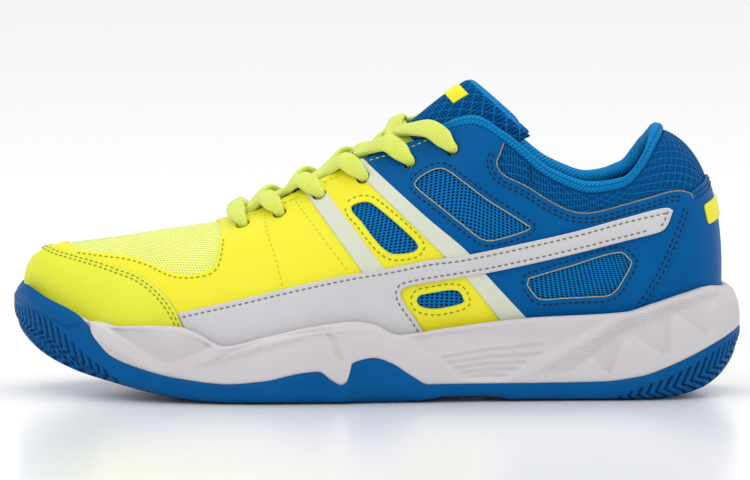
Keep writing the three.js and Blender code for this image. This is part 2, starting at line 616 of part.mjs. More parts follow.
// Height of the tongue's face above the ground at a place in the throat.
function tongueFace(x, y) {
  let i = 0;
  while (i < TONGUE.length - 2 && x > TONGUE[i + 1][0] * GRADE.x) i++;
  const [a, b] = [TONGUE[i], TONGUE[i + 1]];
  const s = (x / GRADE.x - a[0]) / (b[0] - a[0]);
  const angle = Math.asin(Math.min(0.95, Math.abs(y) / (mix(a[2], b[2], s) * GRADE.y)));
  const slope = (b[1] - a[1]) / (b[0] - a[0]);
  const lean = THREE.MathUtils.degToRad(mix(a[4], b[4], s));
  const drop = mix(a[3], b[3], s) * (1 - Math.cos(angle));
  return mix(a[1], b[1], s) * GRADE.z - drop * (Math.sin(lean) + slope * Math.cos(lean));
}
function crestHeightAt(x) {
  let u = THROAT_BASE;
  while (u > 8 && crestX(u) * GRADE.x < x) u -= 0.05;
  return crestHeight(u) * GRADE.z;
}
const up = new THREE.Vector3(0, 0, 1);

// Way of the lace: points with the direction that its flat face looks in.
const way = [];
let facing = 1;
const HOLE = LACE_IN_HOLE / 2;
const FLAT = LACE_WIDTH / 2;
const lift = LACE_THICKNESS / 2;
function visit(point, normal, halfWidth = FLAT, halfThickness = lift) {
  way.push([point, normal.clone().multiplyScalar(facing), halfWidth, halfThickness]);
}
const besideHole = (row, side, toward, share) => {
  const here = EYELETS[row];
  const there = EYELETS[Math.min(Math.max(row + toward, 0), EYELETS.length - 1)];
  const v = sideways(mix(here, there, share), side);
  return [v, mix(eyeletHeight(sideways(here, side)), 1, 0.5)];
};
// Over the edge of the throat and down the hole, coming from the row that lies `toward`.
function intoHole(row, side, toward) {
  const [v, t] = besideHole(row, side, toward, 0.12);
  const edge = sideways(mix(EYELETS[row], EYELETS[row + toward] ?? EYELETS[row], 0.2), side);
  visit(upperPoint(edge, 1, 3.1), baseNormal(edge, 1));
  visit(upperPoint(v, t, 2.9), baseNormal(v, t));
  const hole = sideways(EYELETS[row], side);
  const h = eyeletHeight(hole);
  const out = upRib(hole, h).negate();
  visit(upperPoint(hole, h, 1.8), baseNormal(hole, h).add(out), HOLE + 0.3, 1.4);
  visit(upperPoint(hole, h, -1.8), out, HOLE, 1.4);
}
// Out under the eyestay and up into the throat, leaving for the row that lies `toward`.
function outOfHole(row, side, toward) {
  const hole = sideways(EYELETS[row], side);
  const h = eyeletHeight(hole);
  const out = upRib(hole, h).negate();
  facing = -facing;
  visit(upperPoint(hole, h, -4.9), baseNormal(hole, h).sub(out), HOLE + 0.3, 1.4);
  const [v, t] = besideHole(row, side, toward, 0.12);
  visit(upperPoint(v, t, -6.1), baseNormal(v, t));
  const edge = sideways(mix(EYELETS[row], EYELETS[row + toward], 0.2), side);
  visit(upperPoint(edge, 1, -6.1), baseNormal(edge, 1));
}
// Across the throat between two rows, above or below the other strand.
function across(row, side, nextRow, over) {
  const xs = [row, nextRow].map((k) => crestX(EYELETS[k]) * GRADE.x);
  const shares = [0.25, 0.5, 0.75];
  const ys = [0.43, 0, -0.43];
  const heights = over ? [2.6, 4.2, 3.4] : [-0.6, 0.6, 1.2];
  shares.forEach((share, k) => {
    const x = mix(xs[0], xs[1], share);
    const y = side * ys[k] * 14 * GRADE.y;
    const seat = Math.max(crestHeightAt(x) - 1.6, tongueFace(x, y) + 3.2);
    const tilt = new THREE.Vector3(-0.45, y / 30, 1).normalize();
    visit(new THREE.Vector3(x, y, seat + heights[k]), tilt);
  });
}
// The run from the bar at the bottom up one side after the other.
function strand(side) {
  way.length = 0;
  facing = 1;
  const barX = crestX(EYELETS[0]) * GRADE.x;
  const barZ = Math.max(crestHeightAt(barX), tongueFace(barX, 0)) + 3.4;
  visit(new THREE.Vector3(barX, 0, barZ), up);
  intoHole(0, side, 0);
  let here = side;
  for (let row = 0; row < EYELETS.length - 1; row++) {
    outOfHole(row, here, 1);
    across(row, here, row + 1, (here < 0) === (row % 2 === 0));
    here = -here;
    intoHole(row + 1, here, -1);
  }
  return way.map((stop) => [...stop]);
}
// Frames along a way: a curve through its points, and the flat face kept square to it.
function framesAlong(stops, perStop) {
  const curve = new THREE.CatmullRomCurve3(stops.map(([point]) => point), false, "centripetal");
  const last = stops.length - 1;
  return Array.from({ length: last * perStop + 1 }, (_, i) => {
    const s = i / (last * perStop);
    const tangent = curve.getTangent(s);
    const [k, f] = [Math.min(last - 1, Math.floor(i / perStop)), (i % perStop) / perStop];
    const blend = i === last * perStop ? 1 : f;
    const [a, b] = [stops[k], stops[k + 1]];
    const face = a[1].clone().lerp(b[1], blend);
    const side = tangent.clone().cross(face).normalize();
    const square = side.clone().cross(tangent).normalize();
    return [curve.getPoint(s), side, square, mix(a[2], b[2], blend), mix(a[3], b[3], blend)];
  });
}
const strands = { lateral: strand(-1), medial: strand(1) };
const wholeWay = [
  ...strands.lateral.slice(1).toReversed(),
  ...strands.medial.map(([point, normal, w, h]) => [point, normal, w, h]),
];
const lace = sweep(framesAlong(wholeWay, 1), 6);

// Free ends: down inside the shoe from the top eyelets and back along the sockliner.
function tailWay(side) {
  const u = EYELETS.at(-1);
  const v = sideways(u, side);
  const h = eyeletHeight(v);
  const stops = [
    [upperPoint(v, h, -4.4), upRib(v, h).negate().multiplyScalar(-1), HOLE, 1.3],
    [upperPoint(sideways(u - 0.05, side), h - 0.07, LINING_LEVEL[0] - lift - 1.2 * GRADE.y), baseNormal(v, h).negate(), FLAT * 0.8, lift],
  ];
  for (const [du, t] of [[-0.4, h - 0.22], [-0.8, 0.5], [-1.1, 0.32]]) {
    const place = sideways(u + du, side);
    const depth = padded(LINING_LEVEL[0])(u + du, t) - lift - 2 * GRADE.y; // clear of the facets of the lining
    stops.push([upperPoint(place, t, depth), baseNormal(place, t).negate(), FLAT, lift]);
  }
  const floor = (x) => footbed(x) + GAP + SOCKLINER_THICKNESS + lift + 1;
  for (const [x, y] of [[74, 18], [90, 17], [104, 13]])
    stops.push([new THREE.Vector3(x * GRADE.x, side * y * GRADE.y, floor(x * GRADE.x)), up.clone(), FLAT, lift]);
  return stops;
}
const laceTail = (side) => sweep(framesAlong(tailWay(side), 3), 6);
function aglet(side) {
  const stops = tailWay(side);
  const end = stops.at(-1)[0];
  const run = end.clone().sub(stops.at(-2)[0]).setZ(0).normalize();
  const tube = new THREE.CylinderGeometry(AGLET_RADIUS, AGLET_RADIUS, AGLET_LENGTH, 10);
  tube.applyQuaternion(new THREE.Quaternion().setFromUnitVectors(new THREE.Vector3(0, 1, 0), run));
  const centre = end.clone().addScaledVector(run, AGLET_LENGTH / 2 + GAP);
  centre.z = footbed(centre.x) + GAP + SOCKLINER_THICKNESS + AGLET_RADIUS + 0.5;
  tube.translate(centre.x, centre.y, centre.z);
  return fromGeometry(tube);
}

// ---------------------------------------------------------------- colours and assembly

const finish = (color, roughness) => new THREE.MeshStandardMaterial({ color, roughness, metalness: 0 });
const FINISH = {
  blueRubber: finish(0x0a5ea6, 0.6),
  foam: finish(0xd8d5da, 0.75),
  plate: finish(0x303236, 0.5),
  board: finish(0xc8bda4, 0.9),
  sockliner: finish(0x1f7fc0, 0.9),
  blueLining: finish(0x1783c2, 0.9),
  padding: finish(0xe6d9a8, 0.95),
  stiffener: finish(0xd9d2c0, 0.8),
  blueMesh: finish(0x0f5f9e, 0.85),
  yellowMesh: finish(0xeef57a, 0.85),
  yellow: finish(0xeef03a, 0.45),
  toeYellow: finish(0xdfe83c, 0.4),
  blueSkin: finish(0x0b62ac, 0.45),
  offWhite: finish(0xe6ebdc, 0.45),
  band: finish(0xd3d0d4, 0.45),
  lace: finish(0xf0f768, 0.85),
  aglet: finish(0xf4f7c0, 0.3),
};
const model = new THREE.Group();
model.name = "court_shoe";
function place(name, solid, material) {
  const mesh = new THREE.Mesh(toGeometry(solid), FINISH[material]);
  mesh.name = name;
  model.add(mesh);
}
place("outsole", outsole, "blueRubber");
place("midsole", midsole, "foam");
place("shank_plate", shankPlate, "plate");
place("insole_board", insoleBoard, "board");
place("sockliner", sockliner, "sockliner");
place("vamp_lining", vampLining, "blueLining");
place("quarter_lining", quarterLining, "blueLining");
place("collar_foam", collarFoam, "padding");
place("collar_binding", collarBinding, "blueLining");
place("toe_puff", toePuff, "stiffener");
place("heel_counter", heelCounter, "stiffener");
place("vamp_mesh", vampMesh, "yellowMesh");
place("heel_mesh", heelMesh, "blueMesh");
place("vamp_overlay", vampOverlay, "yellow");
place("heel_panel", heelPanel, "blueSkin");
place("toe_cap", toeCap, "toeYellow");
place("heel_patch", heelPatch, "yellow");
place("tongue_cover", tongueLayer(COVER_DEPTH), "blueMesh");
place("tongue_foam", tongueLayer(FOAM_DEPTH), "padding");
place("tongue_lining", tongueLayer(TONGUE_LINING_DEPTH), "blueLining");
place("tongue_patch", tonguePatch, "yellow");
place("lace", lace, "lace");
for (const [side, sign] of [["lateral", -1], ["medial", 1]]) {
  place(`eyestay_reinforcement_${side}`, eyestay(side), "stiffener");
  place(`side_mesh_${side}`, sideMesh(side), "blueMesh");
  place(`mid_panel_${side}`, midPanel(side), "yellow");
  place(`quarter_panel_${side}`, quarterPanel(side), "blueSkin");
  place(`front_stripe_${side}`, frontStripe(side), "offWhite");
  place(`rear_stripe_${side}`, rearStripe(side), "offWhite");
  place(`side_band_${side}`, sideBand(side), "band");
  place(`lace_tail_${side}`, laceTail(sign), "lace");
  place(`aglet_${side}`, aglet(sign), "aglet");
}
export default model;
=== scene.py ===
import math
import bpy
import bmesh
import numpy as np
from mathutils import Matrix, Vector, kdtree
from mathutils.geometry import delaunay_2d_cdt


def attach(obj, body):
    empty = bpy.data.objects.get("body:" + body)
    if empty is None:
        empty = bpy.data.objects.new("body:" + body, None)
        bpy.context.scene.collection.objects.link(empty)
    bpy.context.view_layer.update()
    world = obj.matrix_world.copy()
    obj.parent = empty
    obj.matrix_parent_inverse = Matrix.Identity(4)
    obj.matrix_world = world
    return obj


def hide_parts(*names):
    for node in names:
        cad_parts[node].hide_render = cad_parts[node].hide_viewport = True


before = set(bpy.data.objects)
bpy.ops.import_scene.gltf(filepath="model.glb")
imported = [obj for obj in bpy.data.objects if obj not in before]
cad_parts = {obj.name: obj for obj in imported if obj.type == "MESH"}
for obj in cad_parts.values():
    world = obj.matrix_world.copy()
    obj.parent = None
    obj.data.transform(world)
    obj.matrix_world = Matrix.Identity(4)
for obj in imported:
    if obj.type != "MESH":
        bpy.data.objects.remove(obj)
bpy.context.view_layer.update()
bpy.ops.object.select_all(action="DESELECT")

# ---------------------------------------------------------------- view
# The shoe is looked at square to its outer side, a little from above.
LOOK_DOWN = math.radians(5)
bpy.ops.object.camera_add(location=(-0.0006, -3 * math.cos(LOOK_DOWN), 0.0612 + 3 * math.sin(LOOK_DOWN)))
camera = bpy.context.object
camera.rotation_euler = (math.pi / 2 - LOOK_DOWN, 0, 0)
camera.data.lens = 36 * 3 / 0.3043
camera.data.clip_end = 20
bpy.context.scene.camera = camera

# ---------------------------------------------------------------- free ends of the lace
# The two ends of a flat polyester lace run from the top eyelets down inside the shoe and back along the insole.
# They follow the wall of the upper, so the surface of the last comes first; everything stitched lies on it.
MM = 0.001


def steady(points):
    """A smooth curve through (x, value) points that never overshoots them."""
    xs, ys = (np.array(column, float) for column in zip(*points))
    slope = np.diff(ys) / np.diff(xs)
    product = slope[:-1] * slope[1:]
    total = slope[:-1] + slope[1:]
    inner = np.where(product > 0, 2 * product / np.where(total == 0, 1, total), 0)
    tangent = np.concatenate([slope[:1], inner, slope[-1:]])

    def curve(x):
        x = np.asarray(x, float)
        i = np.clip(np.searchsorted(xs, x, side="left") - 1, 0, len(xs) - 2)
        h = xs[i + 1] - xs[i]
        s = np.clip((x - xs[i]) / h, 0, 1)
        return (ys[i] * (1 + 2 * s) * (1 - s) ** 2 + ys[i + 1] * s * s * (3 - 2 * s)
                + h * s * (1 - s) * (tangent[i] * (1 - s) - tangent[i + 1] * s))

    return curve


ground_line = steady([
    (-147.5, 29), (-144, 24.5), (-140, 20.8), (-135, 17.2), (-128, 13.6), (-118, 9.8), (-106, 6.8),
    (-94, 4), (-82, 1.8), (-70, 0.4), (-62, 0), (16, 0), (30, 1.6), (44, 1.6), (56, 0), (108, 0),
    (120, 1), (130, 3.6), (137, 7.6), (142, 12.6), (145.5, 18), (147.5, 23)])
footbed = steady([
    (-147.5, 31), (-140, 28), (-130, 23.6), (-118, 19.6), (-106, 17.2), (-94, 15.2), (-82, 14),
    (-62, 13.5), (-40, 14), (0, 17), (30, 19.5), (60, 21.5), (100, 22.6), (147.5, 23)])

# Stations 0 (heel) to 18 (toe) along each side of the sole: x, outer y, inner y.
PERIMETER = [
    (147.5, 0, 0), (145.4, -13.5, 13.5), (138.5, -25.5, 25), (127, -34, 33), (111, -38.5, 37),
    (91, -40, 37), (69, -41, 35.5), (47, -43, 34.5), (25, -46, 36), (3, -50, 40), (-19, -53.6, 45.5),
    (-41, -55, 51), (-62, -53.6, 55), (-83, -49.4, 55), (-103, -42, 51), (-120, -32, 44),
    (-133, -21.5, 36), (-142.6, -8, 25.5), (-147.5, 9, 9)]
TOE = 18
LOOP = 2 * TOE
loop_points = np.array([(x, a) for x, a, b in PERIMETER] + [(x, b) for x, a, b in PERIMETER[-2:0:-1]], float)


def perimeter(v):
    v = np.mod(np.asarray(v, float), LOOP)
    i = np.floor(v).astype(int) % LOOP
    s = (v - np.floor(v))[..., None]
    p0, p1, p2, p3 = (loop_points[(i + k) % LOOP] for k in (-1, 0, 1, 2))
    return 0.5 * (2 * p1 + (p2 - p0) * s + (2 * p0 - 5 * p1 + 4 * p2 - p3) * s**2
                  + (3 * p1 - p0 - 3 * p2 + p3) * s**3)


def outward(v):
    d = perimeter(np.asarray(v) + 0.02) - perimeter(np.asarray(v) - 0.02)
    n = np.stack([d[..., 1], -d[..., 0]], -1) * -1
    return n / np.linalg.norm(n, axis=-1, keepdims=True)


def station(v):
    v = np.mod(np.asarray(v, float), LOOP)
    return np.where(v > TOE, LOOP - v, v), np.where(v > TOE, 1.0, -1.0)


crest_x = steady([
    (0, 117), (1, 116), (2, 112.5), (3, 107), (4, 99), (5, 86), (6, 70), (7, 53), (8, 38), (9, 18),
    (10, -1), (11, -21), (12, -39), (13, -52), (14, -61), (15, -77), (16, -93), (17, -106), (18, -116)])
crest_half_width = steady([
    (0, 0), (1, 11), (2, 20), (3, 26), (4, 30), (5, 32), (6, 32), (7, 30), (8, 26), (9, 21),
    (10, 17), (11, 15), (12, 14), (13, 11.5), (14, 0), (18, 0)])
crest_height = steady([
    (0, 107), (1, 106), (2, 101), (3, 92.5), (4, 85), (5, 83), (6, 88.7), (7, 102.3), (8, 110),
    (9, 104.3), (10, 97.3), (11, 88.2), (12, 79), (13, 73.4), (14, 70.6), (15, 68), (16, 65.5),
    (17, 63.1), (18, 61.2)])
medial_rise = steady([(0, 0), (1, 0), (2, 1), (3, 3.5), (4, 2), (5, 0), (18, 0)])
ridge_offset = steady([(0, 0), (14, 0), (18, 4)])
rib_inset = steady([(0, 9.5), (4, 10), (8, 10.5), (14, 10), (18, 9)])
rib_rise = steady([(0, 29), (3, 27), (5, 23), (7, 26), (10, 32), (12, 33), (14, 27), (16, 19), (18, 14)])
rib_bulge = steady([(0, 4.5), (3, 7), (5, 9), (7, 8), (10, 6), (14, 5), (16, 6), (18, 7.5)])
rib_reach = steady([(0, 26), (2, 22), (4, 17), (5, 16), (6, 17), (8, 20), (10, 23), (13, 22), (14, 26), (18, 30)])
rib_fall = steady([
    (0, 20), (2, 32), (4, 60), (5, 70), (6, 68), (8, 52), (10, 46), (12, 32), (13, 20), (14, 8),
    (16, 7), (18, -2)])
THROAT = 14


def last(v, t):
    """A point of the upper's base surface: v runs round the shoe, t up from the feather edge to the top line."""
    v, t = np.broadcast_arrays(np.asarray(v, float), np.asarray(t, float))
    u, side = station(v)
    out = outward(v)
    foot = np.concatenate([perimeter(v) - out * rib_inset(u)[..., None], np.zeros(v.shape + (1,))], -1)
    foot[..., 2] = footbed(foot[..., 0]) + 0.3
    crest = np.stack([crest_x(u), ridge_offset(u) + side * crest_half_width(u),
                      crest_height(u) + np.where(side > 0, medial_rise(u), 0)], -1)
    fall = np.radians(rib_fall(u))
    low = foot.copy()
    low[..., :2] += out * rib_bulge(u)[..., None]
    low[..., 2] += rib_rise(u)
    high = crest.copy()
    high[..., :2] += out * (rib_reach(u) * np.cos(fall))[..., None]
    high[..., 2] -= rib_reach(u) * np.sin(fall)
    s, t = 1 - t[..., None], t[..., None]
    return s**3 * foot + 3 * s * s * t * low + 3 * s * t * t * high + t**3 * crest


def last_normal(v, t):
    v, t = np.broadcast_arrays(np.asarray(v, float), np.asarray(t, float))
    along = last(v + 0.03, t) - last(v - 0.03, t)
    rise = last(v, np.minimum(1, t + 0.01)) - last(v, np.maximum(0, t - 0.01))
    n = np.cross(rise, along)
    n /= np.maximum(np.linalg.norm(n, axis=-1, keepdims=True), 1e-9)
    n[..., 2] *= np.minimum(1, t * 6)
    u = station(v)[0]
    slope = last(np.maximum(u - 0.03, THROAT), 1) - last(np.minimum(u + 0.03, TOE), 1)
    ridge = np.stack([-slope[..., 2], 0 * u, slope[..., 0]], -1)
    # Near the ridge of the toe box both sides lean towards the one normal that they share.
    share = np.clip((t - 0.8) / 0.2, 0, 1) ** 2 * np.clip((u - 13.8) / 0.4, 0, 1)
    n = n + (ridge / np.maximum(np.linalg.norm(ridge, axis=-1, keepdims=True), 1e-9) - n) * share[..., None]
    return n / np.linalg.norm(n, axis=-1, keepdims=True)


def on_upper(v, t, offset):
    return last(v, t) + last_normal(v, t) * np.asarray(offset, float)[..., None]


padding_round = steady([(0, 0.8), (2, 1), (6, 1), (7, 0.6), (8.2, 0), (18, 0)])
padding_up = steady([(0, 0), (0.48, 0), (0.7, 1), (0.88, 1), (1, 0.45)])


def padding(v, t):
    return 5.5 * padding_round(station(v)[0]) * padding_up(t)


def solid(name, vertices, faces, body="shoe", uv=None):
    """A mesh object from points in millimetres."""
    mesh = bpy.data.meshes.new(name)
    mesh.from_pydata((np.asarray(vertices) * MM).tolist(), [], [list(map(int, f)) for f in faces])
    if uv is not None:
        layer = mesh.attributes.new("cloth", "FLOAT_VECTOR", "POINT")
        flat = np.zeros((len(vertices), 3))
        flat[:, :np.shape(uv)[1]] = uv
        layer.data.foreach_set("vector", flat.ravel())
    mesh.shade_smooth()
    mesh.update()
    thing = bpy.data.objects.new(name, mesh)
    bpy.context.scene.collection.objects.link(thing)
    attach(thing, body)
    return thing


def ring_faces(rings, size, closed_rings=False, offset=0):
    """Quads between rings of points, each ring a closed loop."""
    i = np.arange(rings if closed_rings else rings - 1)[:, None]
    j = np.arange(size)[None, :]
    a = i * size + j
    b = i * size + (j + 1) % size
    c = ((i + 1) % rings) * size + (j + 1) % size
    d = ((i + 1) % rings) * size + j
    return (np.stack([a, b, c, d], -1).reshape(-1, 4) + offset).tolist()


EYELETS = [12.9, 11.9, 11.05, 10.2, 9.25, 8.4]
LACE_WIDTH = 6.4
LACE_THICKNESS = 2.4


def sideways(u, side):
    return u if side < 0 else LOOP - u


def eyelet_height(v):
    t = np.linspace(1, 0.6, 400)
    away = np.linalg.norm(last(np.full(400, v), t) - last(v, 1.0), axis=-1)
    return float(t[np.argmax(away > 9.5)])


def up_rib(v, t):
    d = last(v, t + 0.01) - last(v, t - 0.01)
    return d / np.linalg.norm(d)


def run_through(points, per_stop):
    """A centripetal curve through stops, with the stop number of every sample."""
    p = np.array(points, float)
    p = np.vstack([2 * p[0] - p[1], p, 2 * p[-1] - p[-2]])
    gaps = np.maximum(np.linalg.norm(np.diff(p, axis=0), axis=1) ** 0.5, 1e-3)
    samples, stops = [], []
    for k in range(1, len(p) - 2):
        d0, d1, d2 = gaps[k - 1 : k + 2]
        m1 = (p[k] - p[k - 1]) / d0 - (p[k + 1] - p[k - 1]) / (d0 + d1) + (p[k + 1] - p[k]) / d1
        m2 = (p[k + 1] - p[k]) / d1 - (p[k + 2] - p[k]) / (d1 + d2) + (p[k + 2] - p[k + 1]) / d2
        m1, m2 = m1 * d1, m2 * d1
        for s in np.arange(per_stop) / per_stop:
            samples.append((2 * s**3 - 3 * s**2 + 1) * p[k] + (s**3 - 2 * s**2 + s) * m1
                           + (3 * s**2 - 2 * s**3) * p[k + 1] + (s**3 - s**2) * m2)
            stops.append(k - 1 + s)
    samples.append(p[-2])
    stops.append(len(p) - 3)
    return np.array(samples), np.array(stops)


def braid(name, stops, per_stop=8, sides=16):
    """A flat woven lace along stops of (point, face direction, half width, half thickness)."""
    centre, where = run_through([s[0] for s in stops], per_stop)
    k = np.minimum(where.astype(int), len(stops) - 2)
    f = (where - k)[:, None]
    f = f * f * (3 - 2 * f)
    faces = np.array([s[1] for s in stops], float)
    sizes = np.array([s[2:] for s in stops], float)
    face = faces[k] * (1 - f) + faces[k + 1] * f
    size = sizes[k] * (1 - f) + sizes[k + 1] * f
    tangent = np.gradient(centre, axis=0)
    tangent /= np.linalg.norm(tangent, axis=1, keepdims=True)
    across = np.cross(tangent, face)
    across /= np.linalg.norm(across, axis=1, keepdims=True)
    square = np.cross(across, tangent)
    angle = 2 * np.pi * np.arange(sides) / sides
    c, s = np.cos(angle), np.sin(angle)
    flat_c = np.sign(c) * np.abs(c) ** 0.8
    full_s = np.sign(s) * np.abs(s) ** 0.85
    ring = (centre[:, None] + across[:, None] * (size[:, :1] * flat_c)[..., None]
            + square[:, None] * (size[:, 1:] * full_s)[..., None])
    length = np.concatenate([[0], np.cumsum(np.linalg.norm(np.diff(centre, axis=0), axis=1))])
    uv = np.stack(np.broadcast_arrays(length[:, None], size[:, :1] * flat_c, size[:, 1:] * full_s), -1)
    n = len(centre)
    faces = ring_faces(n, sides) + [list(range(sides))[::-1], [(n - 1) * sides + i for i in range(sides)]]
    return solid(name, ring.reshape(-1, 3), faces, uv=uv.reshape(-1, 3)), centre, float(length[-1])


def srgb(code):
    """A colour from its sRGB hex value."""
    c = np.array([int(code[i : i + 2], 16) / 255 for i in (0, 2, 4)])
    return (*np.where(c <= 0.04045, c / 12.92, ((c + 0.055) / 1.055) ** 2.4).tolist(), 1.0)


def add(material, kind, links=None, **settings):
    """Adds one node; links gives its inputs, by name or number, a value or another node's output."""
    made = material.node_tree.nodes.new("ShaderNode" + kind)
    for key, value in settings.items():
        setattr(made, key, value)
    for key, value in (links or {}).items():
        if isinstance(value, bpy.types.NodeSocket):
            material.node_tree.links.new(value, made.inputs[key])
        else:
            made.inputs[key].default_value = value
    return made.outputs[2] if kind == "Mix" else made.outputs[0]


def new_material(name, base, roughness, **more):
    """A material with its shader, whose own sockets hold what is the same all over."""
    material = bpy.data.materials.new(name)
    material.use_nodes = True
    shader = material.node_tree.nodes["Principled BSDF"]
    shader.inputs["Base Color"].default_value = srgb(base)
    shader.inputs["Roughness"].default_value = roughness
    for key, value in more.items():
        shader.inputs[key.replace("_", " ")].default_value = value
    return material


def finish_with(material, colour=None, relief=None, depth=0.0002, strength=1.0, roughness=None):
    """Links a colour, a relief from 0 to 1 that is depth metres high, and a roughness to the shader."""
    shader = material.node_tree.nodes["Principled BSDF"]
    link = material.node_tree.links.new
    if colour is not None:
        link(colour, shader.inputs["Base Color"])
    if roughness is not None:
        link(roughness, shader.inputs["Roughness"])
    if relief is not None:
        bump = add(material, "Bump", {"Height": relief, "Distance": depth, "Strength": strength})
        link(bump, shader.inputs["Normal"])


# Braided polyester: soft and hardly glossy, with the slanting picks of a flat tubular braid 0.85 mm apart.
lace_cloth = m = new_material("braided_polyester", "ECFB5A", 0.78, Sheen_Weight=0.2)
cloth = add(m, "Attribute", attribute_name="cloth").node.outputs["Vector"]
parts = add(m, "SeparateXYZ", {0: cloth}).node.outputs
spread = add(m, "Math", {0: parts[1]}, operation="ABSOLUTE")
slant = add(m, "Math", {0: parts[0], 1: spread}, operation="ADD")
picks = add(m, "Math", {0: add(m, "Math", {0: slant, 1: 2 * math.pi / 0.85}, operation="MULTIPLY")}, operation="SINE")
ribs = add(m, "Math", {0: parts[1], 1: 2 * math.pi / 0.7}, operation="MULTIPLY")
ribs = add(m, "Math", {0: ribs}, operation="SINE")
weave = add(m, "Math", {0: ribs, 1: 0.6, 2: picks}, operation="MULTIPLY_ADD")
weave = add(m, "MapRange", {0: weave, 1: -1.6, 2: 1.6})
finish_with(m, add(m, "Mix", {0: weave, 6: srgb("CFE02E"), 7: srgb("F4FF80")}, data_type="RGBA"), weave, 0.0004, 0.8)


def tail_stops(side):
    u = EYELETS[-1]
    v = sideways(u, side)
    h = eyelet_height(v)
    normal = last_normal(v, h)
    low = sideways(u - 0.05, side)
    stops = [
        (on_upper(v, h, -4.4), up_rib(v, h), 2.0, 1.3),
        (on_upper(low, h - 0.07, -6.4), -normal, LACE_WIDTH * 0.4, LACE_THICKNESS / 2)]
    for du, t in ((-0.4, h - 0.22), (-0.8, 0.5), (-1.1, 0.32)):
        place = sideways(u + du, side)
        depth = -4.0 - float(padding(place, t)) - 3.2
        stops.append((on_upper(place, t, depth), -last_normal(place, t), LACE_WIDTH / 2, LACE_THICKNESS / 2))
    for x, y in ((74, 18), (90, 17), (104, 13)):
        z = float(footbed(x)) + 0.3 + 4 + LACE_THICKNESS / 2 + 1
        stops.append((np.array([x, side * y, z]), np.array([0, 0, 1.0]), LACE_WIDTH / 2, LACE_THICKNESS / 2))
    return stops


tails = []
for side, name in ((-1, "lateral"), (1, "medial")):
    stops = tail_stops(side)
    tail, line, length = braid(f"free_end_{name}", stops)
    tail.data.materials.append(lace_cloth)
    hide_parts(f"lace_tail_{name}")
    tails.append((side, name, tail, line, length))

# Smooth clear film, heat-shrunk round the lace tip: glossy, with the pale lace showing through.
tip_film = m = new_material("shrunk_acetate_tip", "EFF6A8", 0.22, Coat_Weight=0.4)
grain = add(m, "TexNoise", {"Vector": add(m, "TexCoord").node.outputs["Object"], "Scale": 900.0})
finish_with(m, add(m, "Mix", {0: grain, 6: srgb("E3EC86"), 7: srgb("F6FAC4")}, data_type="RGBA"), grain, 0.00005, 0.3)

for side, name, tail, line, length in tails:
    # The hard tip: a slim tube crimped at the lace, rounded at its end.
    start = line[-1]
    run = line[-1] - line[-2]
    run[2] = 0
    run /= np.linalg.norm(run)
    middle = start + run * 11.3
    middle[2] = float(footbed(104)) + 0.3 + 4 + 1.9 + 0.5
    bpy.ops.mesh.primitive_cylinder_add(vertices=28, radius=1.9 * MM, depth=22 * MM, location=middle * MM)
    tip = bpy.context.object
    tip.rotation_euler = Vector(run).to_track_quat("Z", "Y").to_euler()
    bpy.ops.object.transform_apply(location=True, rotation=True, scale=True)
    bpy.ops.object.modifier_add(type="BEVEL")
    tip.modifiers[-1].width = 0.5 * MM
    tip.modifiers[-1].segments = 3
    bpy.ops.object.modifier_apply(modifier=tip.modifiers[-1].name)
    bpy.ops.object.shade_smooth_by_angle(angle=0.6)
    tip.name = tip.data.name = f"lace_tip_{name}"
    tip.data.materials.append(tip_film)
    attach(tip, "shoe")
    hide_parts(f"aglet_{name}")
    tip.select_set(False)

# ---------------------------------------------------------------- outsole
# Compression-moulded blue rubber cup, 3.6 mm under the foot and wrapped up the wall of the midsole.
# Chevrons are moulded into its toe and heel, and pivot grooves run across the tread; it is cemented on.
rubber_edge = steady([
    (-147.5, 41), (-144, 44), (-140, 42.5), (-135, 40), (-125, 36), (-120.5, 33.4), (-116, 28.5),
    (-112, 23), (-107, 18), (-97, 14), (-80, 10), (-60, 8), (-45, 9.2), (-30, 12.4), (-23, 13),
    (-18, 9.6), (-14, 7.6), (-11.5, 9), (-9.5, 16.2), (-1, 18.2), (6, 16), (14, 10.8), (21, 7.2),
    (60, 7.2), (90, 7.6), (106, 9.6), (120, 14.4), (134, 20.6), (147.5, 27)])
OUTSOLE = 3.6
WALL_SAMPLES = 864
wall_v = np.arange(WALL_SAMPLES) * LOOP / WALL_SAMPLES
edge_point = perimeter(wall_v)
edge_out = outward(wall_v)
ground = ground_line(edge_point[:, 0])
rubber_top = rubber_edge(edge_point[:, 0])


def seen_height(p):
    """Height as it shows from the side, 5 degrees above; the same pattern is mirrored on the inner side."""
    return p[..., 2] * math.cos(LOOK_DOWN) + (50 - np.abs(p[..., 1])) * math.sin(LOOK_DOWN)


def smooth(value, low, high):
    s = np.clip((value - low) / (high - low), 0, 1)
    return s * s * (3 - 2 * s)


def wall_ring(inset, height):
    return np.column_stack([edge_point - edge_out * np.reshape(inset, (-1, 1)), height])


def spine_ring(ring, share, height):
    """A ring drawn in towards the centre line of the sole."""
    x = np.clip(ring[:, 0], -112, 112)
    x = x + (ring[:, 0] - x) * 0.15
    y = np.interp(x, [-130, -60, 0, 147], [6, 0, -3, 0])
    centre = np.column_stack([x, y])
    flat = ring[:, :2] + (centre - ring[:, :2]) * share
    return np.column_stack([flat, height(flat[:, 0])])


